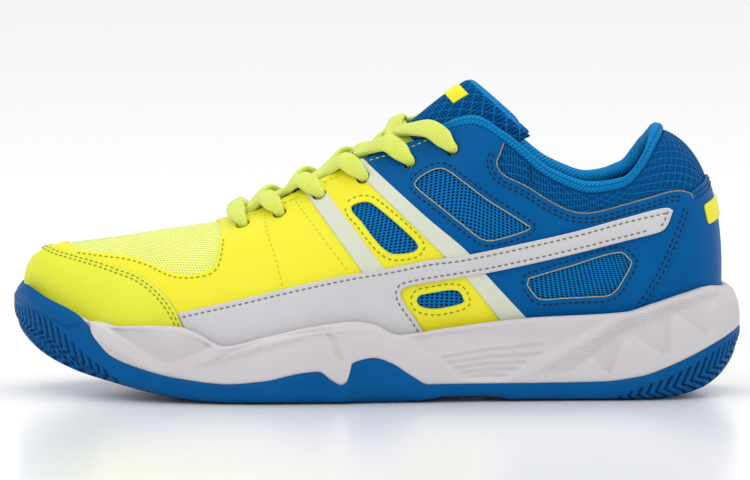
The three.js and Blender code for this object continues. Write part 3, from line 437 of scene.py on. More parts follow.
def polygon_depth(x, z, corners):
    """Distance inside a closed outline, negative outside it."""
    p = np.stack([np.ravel(x), np.ravel(z)], -1)
    a = np.array(corners, float)
    b = np.roll(a, -1, axis=0)
    inside = np.zeros(len(p), bool)
    best = np.full(len(p), 1e9)
    for (ax, az), (bx, bz) in zip(a, b):
        d = np.array([bx - ax, bz - az])
        s = np.clip(((p - (ax, az)) @ d) / max(d @ d, 1e-9), 0, 1)
        best = np.minimum(best, np.linalg.norm(p - (ax, az) - s[:, None] * d, axis=1))
        if az != bz:
            crossing = (p[:, 1] > az) != (p[:, 1] > bz)
            inside ^= crossing & (p[:, 0] < (bx - ax) * (p[:, 1] - az) / (bz - az) + ax)
    return np.where(inside, best, -best).reshape(np.shape(x))


def line_distance(x, z, points):
    best = np.full(np.shape(x), 1e9)
    for (ax, az), (bx, bz) in zip(points, points[1:]):
        dx, dz = bx - ax, bz - az
        s = np.clip(((x - ax) * dx + (z - az) * dz) / (dx * dx + dz * dz), 0, 1)
        best = np.minimum(best, np.hypot(x - ax - s * dx, z - az - s * dz))
    return best


def merge_solid(thing):
    """Closes the seams of a lofted solid and turns its faces outwards."""
    work = bmesh.new()
    work.from_mesh(thing.data)
    bmesh.ops.remove_doubles(work, verts=work.verts, dist=0.00002)
    bmesh.ops.dissolve_degenerate(work, edges=work.edges, dist=0.00001)
    bmesh.ops.recalc_face_normals(work, faces=work.faces)
    work.to_mesh(thing.data)
    work.free()


chevron_top = steady([
    (-147.5, 39.5), (-140, 37.5), (-133, 34), (-128, 30), (-122, 24), (-115, 18), (-108, 13), (-104, 9.5)])
heel_chevron_top = steady([(96, 2.5), (105, 6), (115, 9.5), (125, 14), (135, 20), (142, 25), (147.5, 30)])
CHEVRON_PITCH, CHEVRON_DEPTH = 3.7, 1.2
rings, grooves = [], []
profile_f = [0, 0.03, 0.08, 0.14, *np.linspace(0.2, 0.9, 22), 0.93, 0.96, 0.985, 1.0]
profile_inset = steady([(0, 5), (0.14, 1.5), (0.34, 0.25), (0.5, 0), (0.8, 0), (1, 0.55)])
wall_run = np.concatenate([[0], np.cumsum(np.linalg.norm(np.diff(edge_point, axis=0), axis=1))])
from_tip = np.abs(np.mod(wall_v, LOOP) - TOE)
arc_from_tip = np.abs(wall_run - wall_run[np.argmin(from_tip)])
arc_from_heel = np.minimum(wall_run, wall_run[-1] - wall_run)
for f in profile_f:
    height = ground + (rubber_top - ground) * f
    # The top 2.4 mm of the toe cap of rubber is chamfered back; elsewhere the edge is square.
    toe = smooth(-edge_point[:, 0], 112, 120)
    chamfer = toe * smooth(height, rubber_top - 2.6, rubber_top) * 1.1
    # The lift of toe and heel already rounds them under, so the wall stands fuller there.
    full = 1 - 0.72 * np.maximum(smooth(-edge_point[:, 0], 112, 142), smooth(edge_point[:, 0], 120, 144))
    ring = wall_ring(profile_inset(f) * full + chamfer, height)
    x, z = ring[:, 0], seen_height(ring)
    base = seen_height(wall_ring(0, ground))
    toe_mid = base + 0.52 * (chevron_top(x) - base)
    front = arc_from_tip + np.where(z > toe_mid, 0.3, 1.9) * np.abs(z - toe_mid)
    heel_mid = base + 0.45 * (heel_chevron_top(x) - base)
    rear = arc_from_heel + np.where(z > heel_mid, 0.6, 1.7) * np.abs(z - heel_mid)
    cut = np.zeros(WALL_SAMPLES)
    for phase, top, reach in ((front, chevron_top(x), x < -104), (rear, heel_chevron_top(x), x > 96)):
        saw = np.abs(np.mod(phase / CHEVRON_PITCH, 1) - 0.5)
        cut = np.maximum(cut, (1 - smooth(saw, 0.07, 0.2)) * smooth(top - z, 0, 0.8) * reach)
    seam = line_distance(x, z, [(-147.5, 42.7), (-138, 37), (-124, 30.4), (-118.5, 32)])
    cut = np.maximum(cut, 0.3 * (1 - smooth(seam, 0.15, 0.6)))
    ring[:, :2] -= edge_out * (CHEVRON_DEPTH * cut)[:, None]
    rings.append(ring)
    grooves.append(cut)
top = wall_ring(2.4, rubber_top - 0.4)
floor_z = lambda x: ground_line(x) + OUTSOLE
inner = [top, wall_ring(2.6, np.minimum(ground + OUTSOLE + 0.6, rubber_top - 0.6))]
inner += [spine_ring(wall_ring(2.8, ground), share, floor_z) for share in (0.02, 0.5, 1.0)]


def tread(x):
    cut = sum(1 - smooth(np.abs(x - at), 0.7, 1.3) for at in (-78, -56, -34, 64, 86))
    return ground_line(x) + 1.4 * cut


bottom = [spine_ring(wall_ring(5 * full, ground), share, tread) for share in np.linspace(1, 0.02, 26)]
loft = np.vstack(bottom + rings + inner)
# The depth of every groove is kept on the mesh; the material uses it to paint shade into the grooves.
painted_groove_shade = np.concatenate([np.zeros(len(bottom) * WALL_SAMPLES), np.concatenate(grooves),
                         np.zeros(len(inner) * WALL_SAMPLES)])
outsole = solid("rubber_outsole", loft, ring_faces(len(loft) // WALL_SAMPLES, WALL_SAMPLES), uv=painted_groove_shade[:, None])
merge_solid(outsole)

# Moulded rubber: a satin blue with a faint fine grain, with painted shade darkening the bottom of its grooves.
rubber = m = new_material("moulded_rubber", "00508A", 0.45, Specular_IOR_Level=0.07)
place = add(m, "TexCoord").node.outputs["Object"]
depth = add(m, "SeparateXYZ", {0: add(m, "Attribute", attribute_name="cloth").node.outputs["Vector"]})
cloudy = add(m, "TexNoise", {"Vector": place, "Scale": 60.0, "Detail": 3.0})
tone = add(m, "Mix", {0: cloudy, 6: srgb("004C86"), 7: srgb("005A98")}, data_type="RGBA")
# Groove depth darkens the colour towards a near-black navy: painted shade at the bottom of the grooves.
tone = add(m, "Mix", {0: depth, 6: tone, 7: srgb("00152F")}, data_type="RGBA")
grain = add(m, "TexNoise", {"Vector": place, "Scale": 1800.0, "Detail": 2.0})
finish_with(m, tone, grain, 0.00006, 0.5, add(m, "MapRange", {0: cloudy, 3: 0.36, 4: 0.5}))
outsole.data.materials.append(rubber)
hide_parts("outsole")

# ---------------------------------------------------------------- midsole
# Compression-moulded EVA foam, pale grey, that cups the bottom of the upper. The mould sculpts its wall:
# a pressed facet and lobes at the forefoot, a recessed waist with fanned ribs and a wave round the heel.
foam_edge = steady([
    (-147.5, 39.5), (-140, 38.5), (-125, 33), (-119, 31), (-115, 31), (-108, 29.6), (-90, 30.4),
    (-82, 30.2), (-75, 28.4), (-61.5, 22.8), (-45, 26.6), (-25, 30.8), (-9, 32.6), (-1, 31.4),
    (9.5, 27), (30, 29.6), (60, 33), (100, 35.2), (112, 38.4), (128, 42.6), (139, 44.6), (147.5, 43.5)])
stack_at_sole = steady([(0, 0), (4.5, 0), (5.5, 1), (7, 1), (7.7, 2), (15, 2), (16, 1), (18, 1)])
foam_top = foam_edge(edge_point[:, 0])
stack = stack_at_sole(station(wall_v)[0]) + 0.3


def room_ring(height):
    """The ring where the upper, with all that is stitched on it, passes a height."""
    t = np.linspace(0, 0.6, 61)
    wall = on_upper(wall_v[:, None], t[None], np.repeat(stack[:, None], 61, 1))
    out = np.empty((WALL_SAMPLES, 3))
    for i in range(WALL_SAMPLES):
        z = np.maximum.accumulate(wall[i, :, 2])
        out[i] = [np.interp(height[i], z + np.arange(61) * 1e-6, wall[i, :, k]) for k in range(3)]
    return out


def sculpture(x, z):
    """How far the mould presses the wall in, in millimetres."""
    facet = [(-109, 29.5), (-99, 23.6), (-90.9, 18.1), (-84.8, 15.5), (-79.7, 16.5), (-71.6, 19.6), (-61.5, 23.6),
             (-50, 30.5), (-50, 45), (-109, 45)]
    lobe = [(-69.5, 12.2), (-60.4, 18.3), (-53.3, 21.3), (-43.2, 24.9), (-32, 26.8), (-18, 28.6), (-18, 50),
            (-69.5, 50)]
    waist = [(4, 31), (10.9, 25.7), (24.4, 17.8), (35.2, 8.6), (52.6, 8.6), (61.6, 15), (76.3, 22.3), (89.8, 29.7),
             (101, 36), (101, 60), (4, 60)]
    heel = [(78.5, 11.6), (85.9, 16.4), (94.3, 10.5), (97, 21), (99.5, 25), (103.4, 26.3), (115.2, 18.4),
            (118.5, 19.6), (118, 31), (119.6, 34.2), (122.5, 34.7), (133.8, 26.1), (137, 28.5), (136.6, 38.7),
            (139.4, 42), (144, 40.5), (155, 38), (155, 60), (78, 60)]
    press = np.zeros(np.shape(x))
    # Each hollow is deepest just inside its edge, and fades in over the stretch of x given last.
    for corners, depth, edge, fade, start in (
            (facet, 2.9, 1.3, 13, (-300, -299)), (lobe, 1.6, 1.1, 7, (-73, -58)), (heel, 2.5, 1.2, 12, (80, 94))):
        d = polygon_depth(x, z, corners)
        hollow = depth * smooth(d, 0, edge) * (1 - 0.92 * smooth(d, edge, fade))
        press += hollow * smooth(x, *start) * (1 - smooth(x, 131, 140))
    d = polygon_depth(x, z, waist)
    inside = smooth(d, 0, 2.2)
    press += 2.5 * inside * (1 - 0.7 * smooth(z, 25, 34))
    for start, end in zip([(22.8, 18.3), (25.6, 16.2), (28.4, 14.2), (30.6, 12.2), (32.9, 10.4)],
                          [(66, 24.2), (66, 20.6), (62, 17.4), (58, 14.4), (55, 11.8)]):
        middle = ((start[0] + end[0]) / 2, (start[1] + end[1]) / 2 + 0.7)
        press -= 0.9 * inside * np.exp(-((line_distance(x, z, [start, middle, end]) / 0.62) ** 2))
    notch = line_distance(x, z, [(-19, 27), (-16.6, 24.6), (-15.8, 20.7), (-13.9, 17.3)])
    press += 1.3 * np.exp(-((notch / 1.0) ** 2))
    swell = line_distance(x, z, [(-100, 19.5), (-88, 12.6), (-74, 12.4)])
    return press - 0.35 * np.exp(-((swell / 2.4) ** 2))


open_wall = smooth(foam_top - rubber_top, 1, 5)
ledge = np.minimum(rubber_top, foam_top - 3)
rings = [wall_ring(3.9, ground + 3.9), wall_ring(2.7, ledge - 0.6), wall_ring(2.2 - 1.6 * open_wall, ledge + 0.1)]
for f in np.linspace(0.02, 1, 34):
    height = ledge + 0.1 + (foam_top - ledge - 0.1) * f
    shape = np.interp(f, [0, 0.08, 0.5, 0.85, 0.95, 1], [0.35, 0.05, 0, 0.55, 1.2, 2.1])
    heel_lean = smooth(edge_point[:, 0], 126, 143) * np.interp(f, [0, 0.25, 0.6, 0.85, 1], [0, 0, 0.7, 1.9, 3.4])
    ring = wall_ring(2.7 + (shape - 2.7) * open_wall + heel_lean, height)
    press = sculpture(ring[:, 0], seen_height(ring)) * open_wall
    press *= smooth(np.full(WALL_SAMPLES, f), 0, 0.07) * (1 - 0.75 * smooth(np.full(WALL_SAMPLES, f), 0.86, 1))
    ring[:, :2] -= edge_out * press[:, None]
    rings.append(ring)
lip = room_ring(foam_top - 0.1)
outer = rings[-1]
rings.append(outer * 0.45 + lip * 0.55 + np.array([0, 0, 0.15]))
rings.append(lip)
for share in (0.6, 0.3, 0.0):
    rings.append(room_ring(footbed(edge_point[:, 0]) + 0.3 + (foam_top - footbed(edge_point[:, 0])) * share))
rings += [spine_ring(rings[-1], share, lambda x: footbed(x) - 2.1) for share in (0.04, 0.5, 1.0)]
underside = [spine_ring(wall_ring(3.9, ground), share, lambda x: ground_line(x) + 3.9) for share in (1, 0.5, 0.04)]
loft = np.vstack(underside + rings)
band = np.zeros(len(loft))
x, z = loft[:, 0], seen_height(loft)
for corners in ([(-120, 22), (-95, 10), (-62, 14), (-20, 26), (-2, 27), (-2, 31), (-25, 30), (-62, 21),
                 (-80, 14), (-88, 13.5), (-112, 28)],
                [(54, 8.5), (80, 12), (98, 26), (118, 34), (140, 42), (140, 48), (100, 36), (76, 22)]):
    band = np.maximum(band, smooth(polygon_depth(x, z, corners), 0, 3))
midsole = solid("foam_midsole", loft, ring_faces(len(loft) // WALL_SAMPLES, WALL_SAMPLES),
                uv=np.column_stack([x, z, band]))
merge_solid(midsole)

# Moulded EVA: matt and warm grey-white, faintly orange-peeled by the mould, with bands of a fine 1 mm grid.
foam = m = new_material("moulded_eva_foam", "C8C4C7", 0.62, Specular_IOR_Level=0.3, Subsurface_Weight=0.08,
                        Subsurface_Radius=(0.002, 0.002, 0.002))
place = add(m, "TexCoord").node.outputs["Object"]
wall_mm = add(m, "SeparateXYZ", {0: add(m, "Attribute", attribute_name="cloth").node.outputs["Vector"]}).node.outputs
lines = []
for axis in (0, 1):
    turn = add(m, "Math", {0: wall_mm[axis], 1: 2 * math.pi / 1.05}, operation="MULTIPLY")
    lines.append(add(m, "Math", {0: turn}, operation="SINE"))
grid = add(m, "Math", {0: lines[0], 1: lines[1]}, operation="MAXIMUM")
grid = add(m, "Math", {0: add(m, "MapRange", {0: grid, 1: -1.0, 2: 1.0}), 1: wall_mm[2]}, operation="MULTIPLY")
peel = add(m, "TexNoise", {"Vector": place, "Scale": 420.0, "Detail": 3.0})
cloudy = add(m, "TexNoise", {"Vector": place, "Scale": 35.0, "Detail": 2.0})
tone = add(m, "Mix", {0: cloudy, 6: srgb("C5C1C5"), 7: srgb("D0CCCD")}, data_type="RGBA")
height = add(m, "Math", {0: peel, 1: 0.45, 2: grid}, operation="MULTIPLY_ADD")
finish_with(m, tone, height, 0.00032, 0.9)
midsole.data.materials.append(foam)
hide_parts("midsole")

# ---------------------------------------------------------------- shank, insole board and sockliner
# A stiff moulded plate bridges the waist, a fibre board closes the bottom of the upper,
# and a 4 mm foam sockliner with a knitted cover lies loose on the board.
def slab(name, depth, bottom, top, squeeze):
    """A flat piece with the plan of the upper's inside, between two heights."""
    v = np.arange(288) * LOOP / 288
    plan = on_upper(v, 0.0, np.full(288, depth))
    rings = []

    def ring(share, height, shrink=0.0):
        x = np.clip(plan[:, 0], -112, 104)
        centre = np.column_stack([x + (plan[:, 0] - x) * 0.1, np.interp(x, [-130, -60, 0, 147], [6, 0, -3, 0])])
        d = plan[:, :2] + (centre - plan[:, :2]) * share
        gap = centre - plan[:, :2]
        d = d + gap / np.maximum(np.linalg.norm(gap, axis=1, keepdims=True), 1e-6) * shrink
        return np.column_stack([d, height(d[:, 0])])

    for share in (1, 0.66, 0.33):
        rings.append(ring(share, bottom))
    rings.append(ring(0, bottom, 0.5))
    rings.append(ring(0, lambda x: bottom(x) + squeeze))
    rings.append(ring(0, lambda x: top(x) - squeeze))
    rings.append(ring(0, top, 0.6))
    for share in (0.1, 0.33, 0.66, 1):
        rings.append(ring(share, top))
    loft = np.vstack(rings)
    made = solid(name, loft, ring_faces(len(rings), 288), uv=loft)
    merge_solid(made)
    return made


sockliner = slab("foam_sockliner", -4.8, lambda x: footbed(x) + 0.4, lambda x: footbed(x) + 4.3, 0.6)
# Knitted cover on the foam: matt blue, with rows of loops about 1.2 mm apart.
sock_knit = m = new_material("knitted_sock_cover", "0F68A8", 0.85, Specular_IOR_Level=0.15, Sheen_Weight=0.08)
place = add(m, "TexCoord").node.outputs["Object"]
loops = add(m, "TexVoronoi", {"Vector": place, "Scale": 850.0})
tone = add(m, "Mix", {0: loops, 6: srgb("2A86C6"), 7: srgb("14598F")}, data_type="RGBA")
finish_with(m, tone, loops, 0.0003, 0.8)
sockliner.data.materials.append(sock_knit)
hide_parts("sockliner")

board = slab("insole_board_fibre", -2.6, lambda x: footbed(x) - 1.7, lambda x: footbed(x) + 0.1, 0.2)
# Pressed cellulose board: a dull tan with short fibres.
fibre = m = new_material("cellulose_board", "C3B79C", 0.9)
place = add(m, "TexCoord").node.outputs["Object"]
speck = add(m, "TexNoise", {"Vector": place, "Scale": 700.0, "Detail": 4.0})
finish_with(m, add(m, "Mix", {0: speck, 6: srgb("B5A88C"), 7: srgb("D0C5AC")}, data_type="RGBA"), speck, 0.0001, 0.5)
board.data.materials.append(fibre)
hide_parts("insole_board")

# Glass-filled nylon plate: dark, fairly smooth, with a slight flow grain.
plate = m = new_material("moulded_nylon_plate", "303236", 0.45)
flow = add(m, "TexNoise", {"Vector": add(m, "TexCoord").node.outputs["Object"], "Scale": 500.0, "Detail": 3.0})
finish_with(m, add(m, "Mix", {0: flow, 6: srgb("26282B"), 7: srgb("3B3E43")}, data_type="RGBA"), flow, 0.0001, 0.4)
for material_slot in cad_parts["shank_plate"].material_slots:
    material_slot.material = plate

# ---------------------------------------------------------------- upper: lining and padding
# A blue knitted lining lies against the foot. Round the ankle and heel a 5.5 mm foam pad sits behind it,
# and both are sewn to the outer shell round the top line. Every layer is cut flat and lasted over the same form.
A_SCALE, B_SCALE = 17.0, 85.0


def spread_out(vt):
    return np.asarray(vt, float) * (A_SCALE, B_SCALE)


def at_offset(ab, offset):
    v, t = ab[:, 0] / A_SCALE, np.clip(ab[:, 1] / B_SCALE, 0, 1)
    o = offset(v, t) if callable(offset) else np.full(len(ab), float(offset))
    return on_upper(v, t, o)


def move_in(ab, distance, closed=True):
    """Moves each point of a line to its left by a true distance on the surface."""
    tangent = (np.roll(ab, -1, 0) - np.roll(ab, 1, 0)) if closed else np.gradient(ab, axis=0)
    n = np.stack([-tangent[:, 1], tangent[:, 0]], -1)
    eps = 0.4
    ja = (at_offset(ab + (eps, 0), 0) - at_offset(ab - (eps, 0), 0)) / (2 * eps)
    lower = np.minimum(ab[:, 1] + eps, B_SCALE) - np.maximum(ab[:, 1] - eps, 0)
    jb = (at_offset(ab + (0, eps), 0) - at_offset(ab - (0, eps), 0)) / lower[:, None]
    g11, g12, g22 = (ja * ja).sum(1), (ja * jb).sum(1), (jb * jb).sum(1)
    det = g11 * g22 - g12 * g12
    w = np.stack([g22 * n[:, 0] - g12 * n[:, 1], g11 * n[:, 1] - g12 * n[:, 0]], -1) / det[:, None]
    size = np.sqrt(np.maximum((n * w).sum(1), 1e-12))
    return ab + w / size[:, None] * distance


def even(points, step, closed=True, metric=None):
    """The same line with points a step apart; metric gives the space where the step is measured."""
    p = np.vstack([points, points[:1]]) if closed else np.asarray(points)
    q = metric(p) if metric else p
    run = np.concatenate([[0], np.cumsum(np.linalg.norm(np.diff(q, axis=0), axis=1))])
    n = max(2 if not closed else 3, int(round(run[-1] / step)))
    at = np.linspace(0, run[-1], n + 1)
    if closed:
        at = at[:-1]
    return np.column_stack([np.interp(at, run, p[:, k]) for k in range(p.shape[1])])


def trace(points, closed=True, corner=48, step=0.6):
    """A smooth line through points, which keeps its sharp corners."""
    p = np.array(points, float)
    n = len(p)
    turn = np.zeros(n)
    for i in range(n):
        a, b, c = p[i - 1], p[i], p[(i + 1) % n]
        u1, u2 = b - a, c - b
        turn[i] = abs(math.degrees(math.atan2(u1[0] * u2[1] - u1[1] * u2[0], u1 @ u2)))
    if closed:
        sharp = [i for i in range(n) if turn[i] > corner] or [0]
        runs = [[k % n for k in range(a, (b if b > a else b + n) + 1)] for a, b in zip(sharp, sharp[1:] + sharp[:1])]
        if len(sharp) == 1 and turn[sharp[0]] <= corner:
            ring = run_through(np.vstack([p[-2:], p, p[:3]]), 12)[0]
            ring = ring[24 : 24 + n * 12]
            return even(ring, step)
    else:
        sharp = [0] + [i for i in range(1, n - 1) if turn[i] > corner] + [n - 1]
        runs = [list(range(a, b + 1)) for a, b in zip(sharp, sharp[1:])]
    line = []
    for run in runs:
        piece = run_through(p[run], 12)[0] if len(run) > 2 else p[run]
        piece = even(piece, step, closed=False)
        line.append(piece[:-1])
    if not closed:
        line.append(p[-1:])
    return np.vstack(line)


seek_v, seek_t = np.meshgrid(np.linspace(0, TOE, 361), np.linspace(0, 1, 121), indexing="ij")


def seen_from(side, v, t, level):
    p = on_upper(v, t, np.full(np.shape(v), level))
    z = p[..., 2] * math.cos(LOOK_DOWN) + (50 - side * p[..., 1]) * math.sin(LOOK_DOWN)
    return np.stack([p[..., 0], z], -1)


seek_tables = {}
for side in (-1, 1):
    v = seek_v if side < 0 else LOOP - seek_v
    face = last_normal(v, seek_t)
    facing = face[..., 1] * side * math.cos(LOOK_DOWN) + face[..., 2] * math.sin(LOOK_DOWN) > 0.03
    tree = kdtree.KDTree(int(facing.sum()))
    seen = seen_from(side, v, seek_t, 0.5)[facing]
    for i, (x, z) in enumerate(seen):
        tree.insert((x, z, 0), i)
    tree.balance()
    seek_tables[side] = (tree, np.stack([v[facing], seek_t[facing]], -1))


def on_shell(points, side, level=0.5):
    """Surface coordinates of points given as they show from one side, 5 degrees above: along, height."""
    tree, table = seek_tables[side]
    vt = np.array([table[tree.find((x, z, 0))[1]] for x, z in points])
    low, high = (0, TOE) if side < 0 else (TOE, LOOP)
    for _ in range(6):
        error = np.asarray(points) - seen_from(side, vt[:, 0], vt[:, 1], level)
        dv = (seen_from(side, vt[:, 0] + 0.01, vt[:, 1], level)
              - seen_from(side, vt[:, 0] - 0.01, vt[:, 1], level)) / 0.02
        t1, t0 = np.minimum(vt[:, 1] + 0.003, 1), np.maximum(vt[:, 1] - 0.003, 0)
        dt = (seen_from(side, vt[:, 0], t1, level) - seen_from(side, vt[:, 0], t0, level)) / (t1 - t0)[:, None]
        det = dv[:, 0] * dt[:, 1] - dv[:, 1] * dt[:, 0]
        det = np.where(np.abs(det) < 2, np.sign(det) * 2 + (det == 0) * 2, det)
        step = np.stack([error[:, 0] * dt[:, 1] - error[:, 1] * dt[:, 0],
                         dv[:, 0] * error[:, 1] - dv[:, 1] * error[:, 0]], -1) / det[:, None]
        vt = vt + np.clip(step, (-0.15, -0.03), (0.15, 0.03))
        vt[:, 0] = np.clip(vt[:, 0], low, high)
        vt[:, 1] = np.clip(vt[:, 1], 0, 1)
    return spread_out(vt)


def left_turning(ab):
    area = (ab[:, 0] * np.roll(ab[:, 1], -1) - np.roll(ab[:, 0], -1) * ab[:, 1]).sum()
    return ab if area > 0 else ab[::-1]


def point_tree(points):
    tree = kdtree.KDTree(len(points))
    for i, p in enumerate(points):
        tree.insert(p, i)
    tree.balance()
    return tree


def inside_loops(p, loops):
    """Whether points lie in the first loop and in none of the others."""
    kept = np.ones(len(p), bool)
    for n, loop in enumerate(loops):
        inside = np.zeros(len(p), bool)
        for a, b in zip(loop, np.roll(loop, -1, 0)):
            if a[1] != b[1]:
                crossing = (p[:, 1] > a[1]) != (p[:, 1] > b[1])
                inside ^= crossing & (p[:, 0] < (b[0] - a[0]) * (p[:, 1] - a[1]) / (b[1] - a[1]) + a[0])
        kept &= inside if n == 0 else ~inside
    return kept


def cut_sheet(name, outline, holes, low, high, spacing=2.6, edge_step=1.0, rounded=0.0,
              dips=(), root=None):
    """A layer of the upper cut to an outline, with holes, between two offsets from the form.

    Its edge is rounded over, it dips by a little along its stitch rows, and its rim runs down to root."""
    on_form = lambda q: at_offset(q, 0)
    loops = [even(left_turning(np.asarray(loop)), edge_step, metric=on_form) for loop in [outline, *holes]]
    rim_tree = point_tree(np.vstack([on_form(even(loop, 0.35, metric=on_form)) for loop in loops]))
    rings = [0.3, 0.8] if rounded else []
    rings += [d + k for d in dips for k in (-0.5, 0, 0.5)]
    rings.append(max(rings, default=0) + spacing * 0.45)
    extra = []
    for n, loop in enumerate(loops):
        for d in sorted(rings):
            moved = move_in(loop, d if n == 0 else -d)
            far = np.array([rim_tree.find(q)[2] for q in at_offset(moved, 0)])
            extra.append(moved[far > d * 0.93])
    box_low, box_high = loops[0].min(0), loops[0].max(0)
    rows = np.arange(box_low[1], box_high[1], spacing * 0.87)
    staggered = [np.arange(box_low[0] + k * spacing / 2, box_high[0], spacing) for k in (0, 1)]
    field = np.vstack([np.column_stack([staggered[k % 2], np.full(len(staggered[k % 2]), r)])
                       for k, r in enumerate(rows)])
    field = field[inside_loops(field, loops)]
    if len(field):
        far = np.array([rim_tree.find(q)[2] for q in at_offset(field, 0)])
        field = field[far > max(rings) + spacing * 0.4]
    inner = np.vstack([*extra, field])
    inner = inner[inside_loops(inner, loops)]
    points = np.vstack([*loops, inner])
    edges, start = [], 0
    for loop in loops:
        edges += [(start + i, start + (i + 1) % len(loop)) for i in range(len(loop))]
        start += len(loop)
    out = delaunay_2d_cdt([Vector(p) for p in points], edges, [], 0, 1e-4)
    ab = np.array([tuple(p) for p in out[0]])
    triangles = np.array([f for f in out[2] if len(f) == 3])
    triangles = triangles[inside_loops(ab[triangles].mean(1), loops)]
    used, renumber = np.unique(triangles, return_inverse=True)
    ab, triangles = ab[used], renumber.reshape(-1, 3)
    count = len(ab)
    directed = dict.fromkeys((i, j) for a, b, c in triangles for i, j in ((a, b), (b, c), (c, a)))
    border = [(i, j) for i, j in directed if (j, i) not in directed]
    d = np.array([rim_tree.find(q)[2] for q in at_offset(ab, 0)])
    v, t = ab[:, 0] / A_SCALE, np.clip(ab[:, 1] / B_SCALE, 0, 1)
    highs = high(v, t) if callable(high) else np.full(count, float(high))
    lows = low(v, t) if callable(low) else np.full(count, float(low))
    drop = np.zeros(count)
    if rounded:
        s = np.clip(d / 0.9, 0, 1)
        drop = rounded * (1 - np.sqrt(np.maximum(1 - (1 - s) ** 2, 0)))
    for at in dips:
        drop = drop + 0.16 * np.exp(-(((d - at) / 0.5) ** 2))
    top = on_upper(v, t, highs - drop)
    bottom = on_upper(v, t, lows if root is None else np.minimum(lows, np.where(d < 0.2, root, lows)))
    flip = lambda tri: tri[:, ::-1]
    normal = np.cross(top[triangles[:, 1]] - top[triangles[:, 0]], top[triangles[:, 2]] - top[triangles[:, 0]])
    faces_out = (normal * last_normal(v[triangles[:, 0]], t[triangles[:, 0]])).sum(1).sum() > 0
    upper_faces = triangles if faces_out else flip(triangles)
    lower_faces = flip(upper_faces) + count
    rim = [(i, j, j + count, i + count) if not faces_out else (j, i, i + count, j + count) for i, j in border]
    uv = np.vstack([np.column_stack([ab[:, 0], ab[:, 1], d])] * 2)
    return solid(name, np.vstack([top, bottom]), [*upper_faces.tolist(), *lower_faces.tolist(), *rim], uv=uv)


def rectangle(v0, v1, t0, t1):
    return spread_out(np.vstack([np.column_stack([np.linspace(v0, v1, 160), np.full(160, t0)]),
                                 np.column_stack([np.full(50, v1), np.linspace(t0, t1, 50)])[1:],
                                 np.column_stack([np.linspace(v1, v0, 160), np.full(160, t1)])[1:],
                                 np.column_stack([np.full(50, v0), np.linspace(t1, t0, 50)])[1:-1]]))


eyelet_centres = {side: [(sideways(u, side), eyelet_height(sideways(u, side))) for u in EYELETS] for side in (-1, 1)}


def eyelet_loops(side, radius=2.9, rows=range(6)):
    """Circles of a true radius round the eyelets of one side."""
    loops = []
    for k in rows:
        v, t = eyelet_centres[side][k]
        centre = last(v, t)
        dv = (last(v + 0.02, t) - last(v - 0.02, t)) / (0.04 * A_SCALE)
        dt = (last(v, t + 0.01) - last(v, t - 0.01)) / (0.02 * B_SCALE)
        angle = np.linspace(0, 2 * np.pi, 24, endpoint=False)
        a = radius * np.cos(angle)
        b = radius * np.sin(angle)
        e1 = dv / np.linalg.norm(dv)
        skew = dt @ e1
        e2 = dt - skew * e1
        beta = b / np.linalg.norm(e2)
        alpha = (a - beta * skew) / np.linalg.norm(dv)
        loops.append(spread_out([(v, t)]) + np.column_stack([alpha, beta]))
    return loops


def close_ridge(thing):
    """Joins the two sides of a layer along the ridge of the toe box, and drops the walls left inside it."""
    work = bmesh.new()
    work.from_mesh(thing.data)
    ridge = [vert for vert in work.verts if vert.co.x < crest_x(THROAT) * MM + 0.0008]
    bmesh.ops.remove_doubles(work, verts=ridge, dist=0.00006)
    seen_faces, doubles = {}, []
    for face in work.faces:
        key = tuple(sorted(vert.index for vert in face.verts))
        if key in seen_faces:
            doubles += [face, seen_faces[key]]
        seen_faces[key] = face
    bmesh.ops.delete(work, geom=list(set(doubles)), context="FACES_ONLY")
    work.to_mesh(thing.data)
    work.free()


# Each layer of the upper: its two offsets from the form, the spacing of its points inside and along its edge.
STIFFENER_LAYER = (-2.9, -2.1, 3.4, 2.2)
NET_LAYER = (-1.8, -1.0, 2.4, 1.4)
SKIN_LAYER = (-0.7, 0.0, 2.6, 0.9)
STRIPE_LAYER = (0.2, 0.8, 2.6, 0.9)
LINING_LOW = lambda v, t: -4.0 - padding(v, t)
LINING_HIGH = lambda v, t: -3.2 - padding(v, t)
FRONT_SPLIT, REAR_SPLIT = 13.6, 6.45
# Knitted lining cloth: matt blue with a fine 1.1 mm loop grid and a soft sheen.
lining_knit = m = new_material("knitted_lining", "007AC2", 0.85, Specular_IOR_Level=0.05, Sheen_Weight=0.03)
place = add(m, "TexCoord").node.outputs["Object"]
loops = add(m, "TexVoronoi", {"Vector": place, "Scale": 900.0})
cloudy = add(m, "TexNoise", {"Vector": place, "Scale": 50.0})
tone = add(m, "Mix", {0: loops, 6: srgb("067FD2"), 7: srgb("004C8D")}, data_type="RGBA")
finish_with(m, tone, loops, 0.0003, 0.8)

vamp_lining = cut_sheet("vamp_lining_knit", rectangle(FRONT_SPLIT, LOOP - FRONT_SPLIT, 0, 1), [],
                        LINING_LOW, LINING_HIGH, 3.4, 2.2)
close_ridge(vamp_lining)
lining_holes = eyelet_loops(-1) + eyelet_loops(1)
for loop in lining_holes:
    loop[:, 0] = np.where(loop[:, 0] > TOE * A_SCALE, loop[:, 0] - LOOP * A_SCALE, loop[:, 0])
quarter_lining = cut_sheet("quarter_lining_knit", rectangle(-FRONT_SPLIT + 0.02, FRONT_SPLIT - 0.02, 0, 1),
                           lining_holes, LINING_LOW, LINING_HIGH, 3.0, 1.8)
collar_pad = cut_sheet("collar_padding", rectangle(-8.0, 8.0, 0.5, 0.985), [],
                       lambda v, t: -3.1 - padding(v, t), lambda v, t: np.full(np.shape(v), -2.95), 3.0, 1.8)
